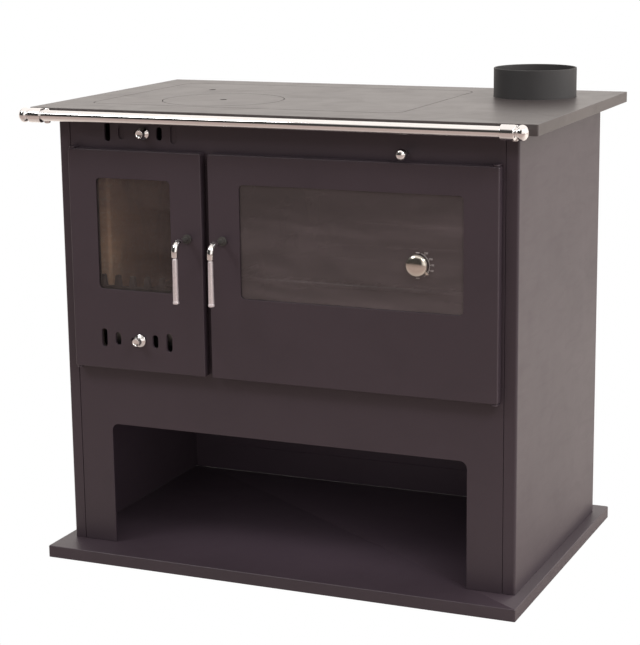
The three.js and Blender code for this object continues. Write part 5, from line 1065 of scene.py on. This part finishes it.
# Shallow chromed dome with a rolled rim, its pointer, and the scale printed on the glass.
stem = middle_of("thermometer_stem")
cap_low, cap_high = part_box("thermometer_cap")
glass_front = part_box("oven_door_glass")[0].y
CAP_RADIUS = 17 * MM
RIM_HEIGHT = 3 * MM
dome_rise = cap_high.y - cap_low.y - RIM_HEIGHT
inside = 1.5 * MM
outer_rows = [
    (CAP_RADIUS * math.cos(a), RIM_HEIGHT + dome_rise * math.sin(a)) for a in np.linspace(0, math.pi / 2, 24)
]
inner_rows = [
    ((CAP_RADIUS - inside) * math.cos(a), RIM_HEIGHT + (dome_rise - inside) * math.sin(a))
    for a in np.linspace(math.pi / 2, 0, 16)
]
LIP_EASE = 0.4 * MM
GROOVE = 0.5 * MM
lip = [
    (CAP_RADIUS - inside, LIP_EASE),
    (CAP_RADIUS - inside + LIP_EASE, 0),
    (CAP_RADIUS - LIP_EASE, 0),
    (CAP_RADIUS, LIP_EASE),
]
groove = [(CAP_RADIUS, 1.9 * MM), (CAP_RADIUS - GROOVE, 2.3 * MM), (CAP_RADIUS - GROOVE, 2.6 * MM)]
cap = turned(inner_rows + lip + groove + outer_rows, (stem.x, cap_high.y, stem.z), (0, -1, 0), 96)

POINTER_ANGLE = math.radians(-34)
POINTER_REACH = 23 * MM
arrow = outline(
    [
        (CAP_RADIUS - 1 * MM, -2 * MM),
        (POINTER_REACH - 2 * MM, -2 * MM),
        (POINTER_REACH, 0),
        (POINTER_REACH - 2 * MM, 2 * MM),
        (CAP_RADIUS - 1 * MM, 2 * MM),
    ],
    0,
)
dial_middle = np.array([stem.x, stem.z])
arrow = spun(arrow, POINTER_ANGLE, dial_middle)
pointer = panel(arrow, [], edge_rows(cap_high.y - 1.2 * MM, cap_high.y, 0.2 * MM), [])
add_piece("thermometer_dome", [cap, *pointer], reflection_tinted_dome_chrome, "thermometer", ["thermometer_cap"])
eased("thermometer_stem", zinc_steel, 0.2 * MM)

SCALE_RADIUS = 19.4 * MM
NUMERAL_RADIUS = 24 * MM
NUMERALS = {"100": -17, "150": 4, "200": 27, "250": 54}
SCALE_LINE = 0.5 * MM
SHORT_BARS = range(-55, 75, 7)  # degrees
INK = 0.06 * MM
ink_back = glass_front - 0.02 * MM
ink_rows = [(0, ink_back - INK), (0, ink_back)]


def scale_bar(angle, inner, outer, width):
    """Short printed bar along a radius of the scale."""
    bar = [(inner, -width / 2), (outer, -width / 2), (outer, width / 2), (inner, width / 2)]
    return panel(spun(bar, angle, dial_middle), [], ink_rows, [])


def numeral(text, height, angle):
    """Printed number, upright, beside the scale."""
    curve = bpy.data.curves.new(text, "FONT")
    curve.body = text
    curve.size = height
    curve.align_x, curve.align_y = "CENTER", "CENTER"
    curve.extrude = INK / 2
    holder = bpy.data.objects.new(text, curve)
    bpy.context.scene.collection.objects.link(holder)
    bpy.context.view_layer.update()
    mesh = bpy.data.meshes.new_from_object(holder)
    points = np.array([vertex.co for vertex in mesh.vertices])
    faces = [list(polygon.vertices) for polygon in mesh.polygons]
    bpy.data.objects.remove(holder)
    x = stem.x + NUMERAL_RADIUS * math.cos(angle)
    z = stem.z + NUMERAL_RADIUS * math.sin(angle)
    y = ink_back - INK / 2
    return np.stack([x + points[:, 0], y - points[:, 2], z + points[:, 1]], 1), faces


arc_angles = np.radians(np.linspace(-56, 72, 60))
arc = np.column_stack([np.cos(arc_angles), np.sin(arc_angles)])
outer_line, inner_line = SCALE_RADIUS + SCALE_LINE / 2, SCALE_RADIUS - SCALE_LINE / 2
arc_outline = dial_middle + np.vstack([outer_line * arc, inner_line * arc[::-1]])
printed = panel(arc_outline, [], ink_rows, [])
for degrees in SHORT_BARS:
    printed += scale_bar(math.radians(degrees), SCALE_RADIUS, SCALE_RADIUS + 1.3 * MM, 0.35 * MM)
for text, degrees in NUMERALS.items():
    printed += scale_bar(math.radians(degrees), SCALE_RADIUS, SCALE_RADIUS + 2.2 * MM, 0.5 * MM)
    printed.append(numeral(text, 4.2 * MM, math.radians(degrees)))
for degrees in (-88, 88):
    printed += scale_bar(math.radians(degrees), CAP_RADIUS + 1.8 * MM, CAP_RADIUS + 3.2 * MM, 6 * MM)
add_piece("thermometer_scale", printed, scale_ink, "oven_door")

# ---------------------------------------------------------------- firebox

# Bricks, grate, guard and ash pan behind the fire door.
for name in ("brick_left", "brick_right", "brick_back"):
    eased(name, firebrick, 1.2 * MM)
for name, width in (("grate_bed", 0.8 * MM), ("grate", 0.6 * MM), ("log_guard", 0.9 * MM)):
    eased(name, cast_iron, width)
eased("ash_pan", zinc_steel, 0.3 * MM)

# ---------------------------------------------------------------- oven

# Enamelled liner and tray, and the wire rack with its welded bars.
eased("oven_liner", oven_enamel, 0.4 * MM)
eased("baking_tray", oven_enamel, 0.4 * MM)
low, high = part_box("oven_rack")
rack_z = (low.z + high.z) / 2
FRAME_WIRE = 3 * MM
BAR_WIRE = 2 * MM
RACK_BARS = 13
ring = rectangle(low.x + FRAME_WIRE, high.x - FRAME_WIRE, low.y + FRAME_WIRE, high.y - FRAME_WIRE, 9 * MM)
parts = [swept(level(ring, rack_z), (0, 0, 1), FRAME_WIRE * np.ones(len(ring)), 20, closed=True)]
bar_length = high.y - low.y - 2 * FRAME_WIRE
rows = [(0, 0), (BAR_WIRE, 0), (BAR_WIRE, bar_length), (0, bar_length)]
for x in np.linspace(low.x + FRAME_WIRE, high.x - FRAME_WIRE, RACK_BARS + 2)[1:-1]:
    parts.append(turned(rows, (x, low.y + FRAME_WIRE, rack_z), (0, 1, 0), 16))
add_piece("oven_wire_rack", parts, zinc_steel, "casing", ["oven_rack"])

# ---------------------------------------------------------------- floor, light and camera


def studio_floor():
    """Wide pale floor, white to the camera; for bounced and reflected light it is a painted shade, dark
    pinkish grey at the front and pale at the back.
    """
    mesh = bpy.data.meshes.new("studio_floor")
    reach = 12.0
    corners = [(-reach, -reach, 0), (reach, -reach, 0), (reach, reach, 0), (-reach, reach, 0)]
    mesh.from_pydata(corners, [], [(0, 1, 2, 3)])
    floor = bpy.data.objects.new("studio_floor", mesh)
    bpy.context.scene.collection.objects.link(floor)
    material, tree, shader, place = new_material("studio_floor")
    path = node(tree, "ShaderNodeLightPath")
    bright = node(tree, "ShaderNodeEmission", {"Color": grey(1.0), "Strength": 1.0})
    axes = node(tree, "ShaderNodeSeparateXYZ", {"Vector": place}).outputs
    # painted shade: the floor's colour for bounced and reflected light darkens towards the front
    front_shade_ramp = ranged(tree, axes["Y"], 0, 1, -0.9, 0.6)
    tint = blended(tree, front_shade_ramp, (0.36, 0.29, 0.27, 1), (0.85, 0.8, 0.76, 1))
    connect(tree, shader, Base_Color=tint, Roughness=0.9)
    mixed = node(
        tree,
        "ShaderNodeMixShader",
        {0: path.outputs["Is Camera Ray"], 1: shader.outputs[0], 2: bright.outputs[0]},
    )
    tree.links.new(mixed.outputs[0], tree.nodes["Material Output"].inputs["Surface"])
    mesh.materials.append(material)
    floor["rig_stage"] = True


def studio_world():
    """Soft surroundings: bright above, behind and to the right, darker at the front."""
    world = bpy.data.worlds.new("studio")
    world.use_nodes = True
    tree = world.node_tree
    way = node(tree, "ShaderNodeTexCoord").outputs["Generated"]
    axes = node(tree, "ShaderNodeSeparateXYZ", {"Vector": way}).outputs
    overhead = ranged(tree, axes["Z"], 0, 1, 0.55, 0.8)
    behind = ranged(tree, axes["Y"], 0, 1, -0.15, 0.45)
    right = ranged(tree, axes["X"], 0, 1, 0.2, 0.6)
    level = node(tree, "ShaderNodeMath", {0: overhead, 1: behind}, operation="MAXIMUM").outputs[0]
    level = node(tree, "ShaderNodeMath", {0: level, 1: right}, operation="MAXIMUM").outputs[0]
    glossy = node(tree, "ShaderNodeLightPath").outputs["Is Glossy Ray"]
    level = ranged(tree, level, ranged(tree, glossy, 0.36, 0.05), 1.2)
    soft = node(tree, "ShaderNodeBackground", {"Color": (1.0, 0.94, 0.89, 1), "Strength": level})
    white = node(tree, "ShaderNodeBackground", {"Color": grey(1.0), "Strength": 1.0})
    seen = node(tree, "ShaderNodeLightPath").outputs["Is Camera Ray"]
    mixed = node(tree, "ShaderNodeMixShader", {0: seen, 1: soft.outputs[0], 2: white.outputs[0]})
    tree.links.new(mixed.outputs[0], tree.nodes["World Output"].inputs["Surface"])
    bpy.context.scene.world = world


def soft_box(name, place, target, size, watts, mirrored=True):
    """Rectangular studio light turned towards a point, seen in reflections or not."""
    light = bpy.data.lights.new(name, "AREA")
    light.shape = "RECTANGLE"
    light.size, light.size_y = size
    light.energy = watts
    box = bpy.data.objects.new(name, light)
    box.location = place
    box.rotation_euler = (Vector(target) - Vector(place)).to_track_quat("-Z", "Y").to_euler()
    box.visible_camera = False
    box.visible_glossy = mirrored
    bpy.context.scene.collection.objects.link(box)


studio_floor()
studio_world()
stove_middle = (0, 0, 0.4)
soft_box("left_box", (-1.6, -1.8, 2.6), stove_middle, (1.0, 0.7), 26)
soft_box("right_box", (2.2, -1.5, 2.6), stove_middle, (1.0, 0.7), 30)
soft_box("side_box", (3.2, 0.9, 1.6), stove_middle, (1.8, 1.8), 30)
soft_box("wood_store_fill", (0, -0.2, 0.212), (0, 0.1, 0.02), (0.54, 0.01), 0.45, mirrored=False)

# Camera placed by fitting the photograph's straight edges.
CAMERA_PLACE = (1.21457, -2.86155, 1.06054)
AZIMUTH = math.radians(23.418)
ELEVATION = math.radians(12.383)
ROLL = math.radians(-0.698)
FOCAL_LENGTH = 105.78
SENSOR_WIDTH = 36
SHIFT_UP = -0.0007
level_back = Vector((math.sin(AZIMUTH), -math.cos(AZIMUTH), 0))
back = level_back * math.cos(ELEVATION) + Vector((0, 0, math.sin(ELEVATION)))
right = Vector((math.cos(AZIMUTH), math.sin(AZIMUTH), 0))
up = back.cross(right)
rolled_right = math.cos(ROLL) * right + math.sin(ROLL) * up
rolled_up = math.cos(ROLL) * up - math.sin(ROLL) * right
lens = bpy.data.cameras.new("camera")
lens.lens = FOCAL_LENGTH
lens.sensor_width = SENSOR_WIDTH
lens.shift_y = SHIFT_UP
camera = bpy.data.objects.new("camera", lens)
turn = Matrix((rolled_right, rolled_up, back)).transposed().to_4x4()
camera.matrix_world = Matrix.Translation(CAMERA_PLACE) @ turn
bpy.context.scene.collection.objects.link(camera)
bpy.context.scene.camera = camera
bpy.context.scene.view_settings.view_transform = "Standard"

# ---------------------------------------------------------------- size

low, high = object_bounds()
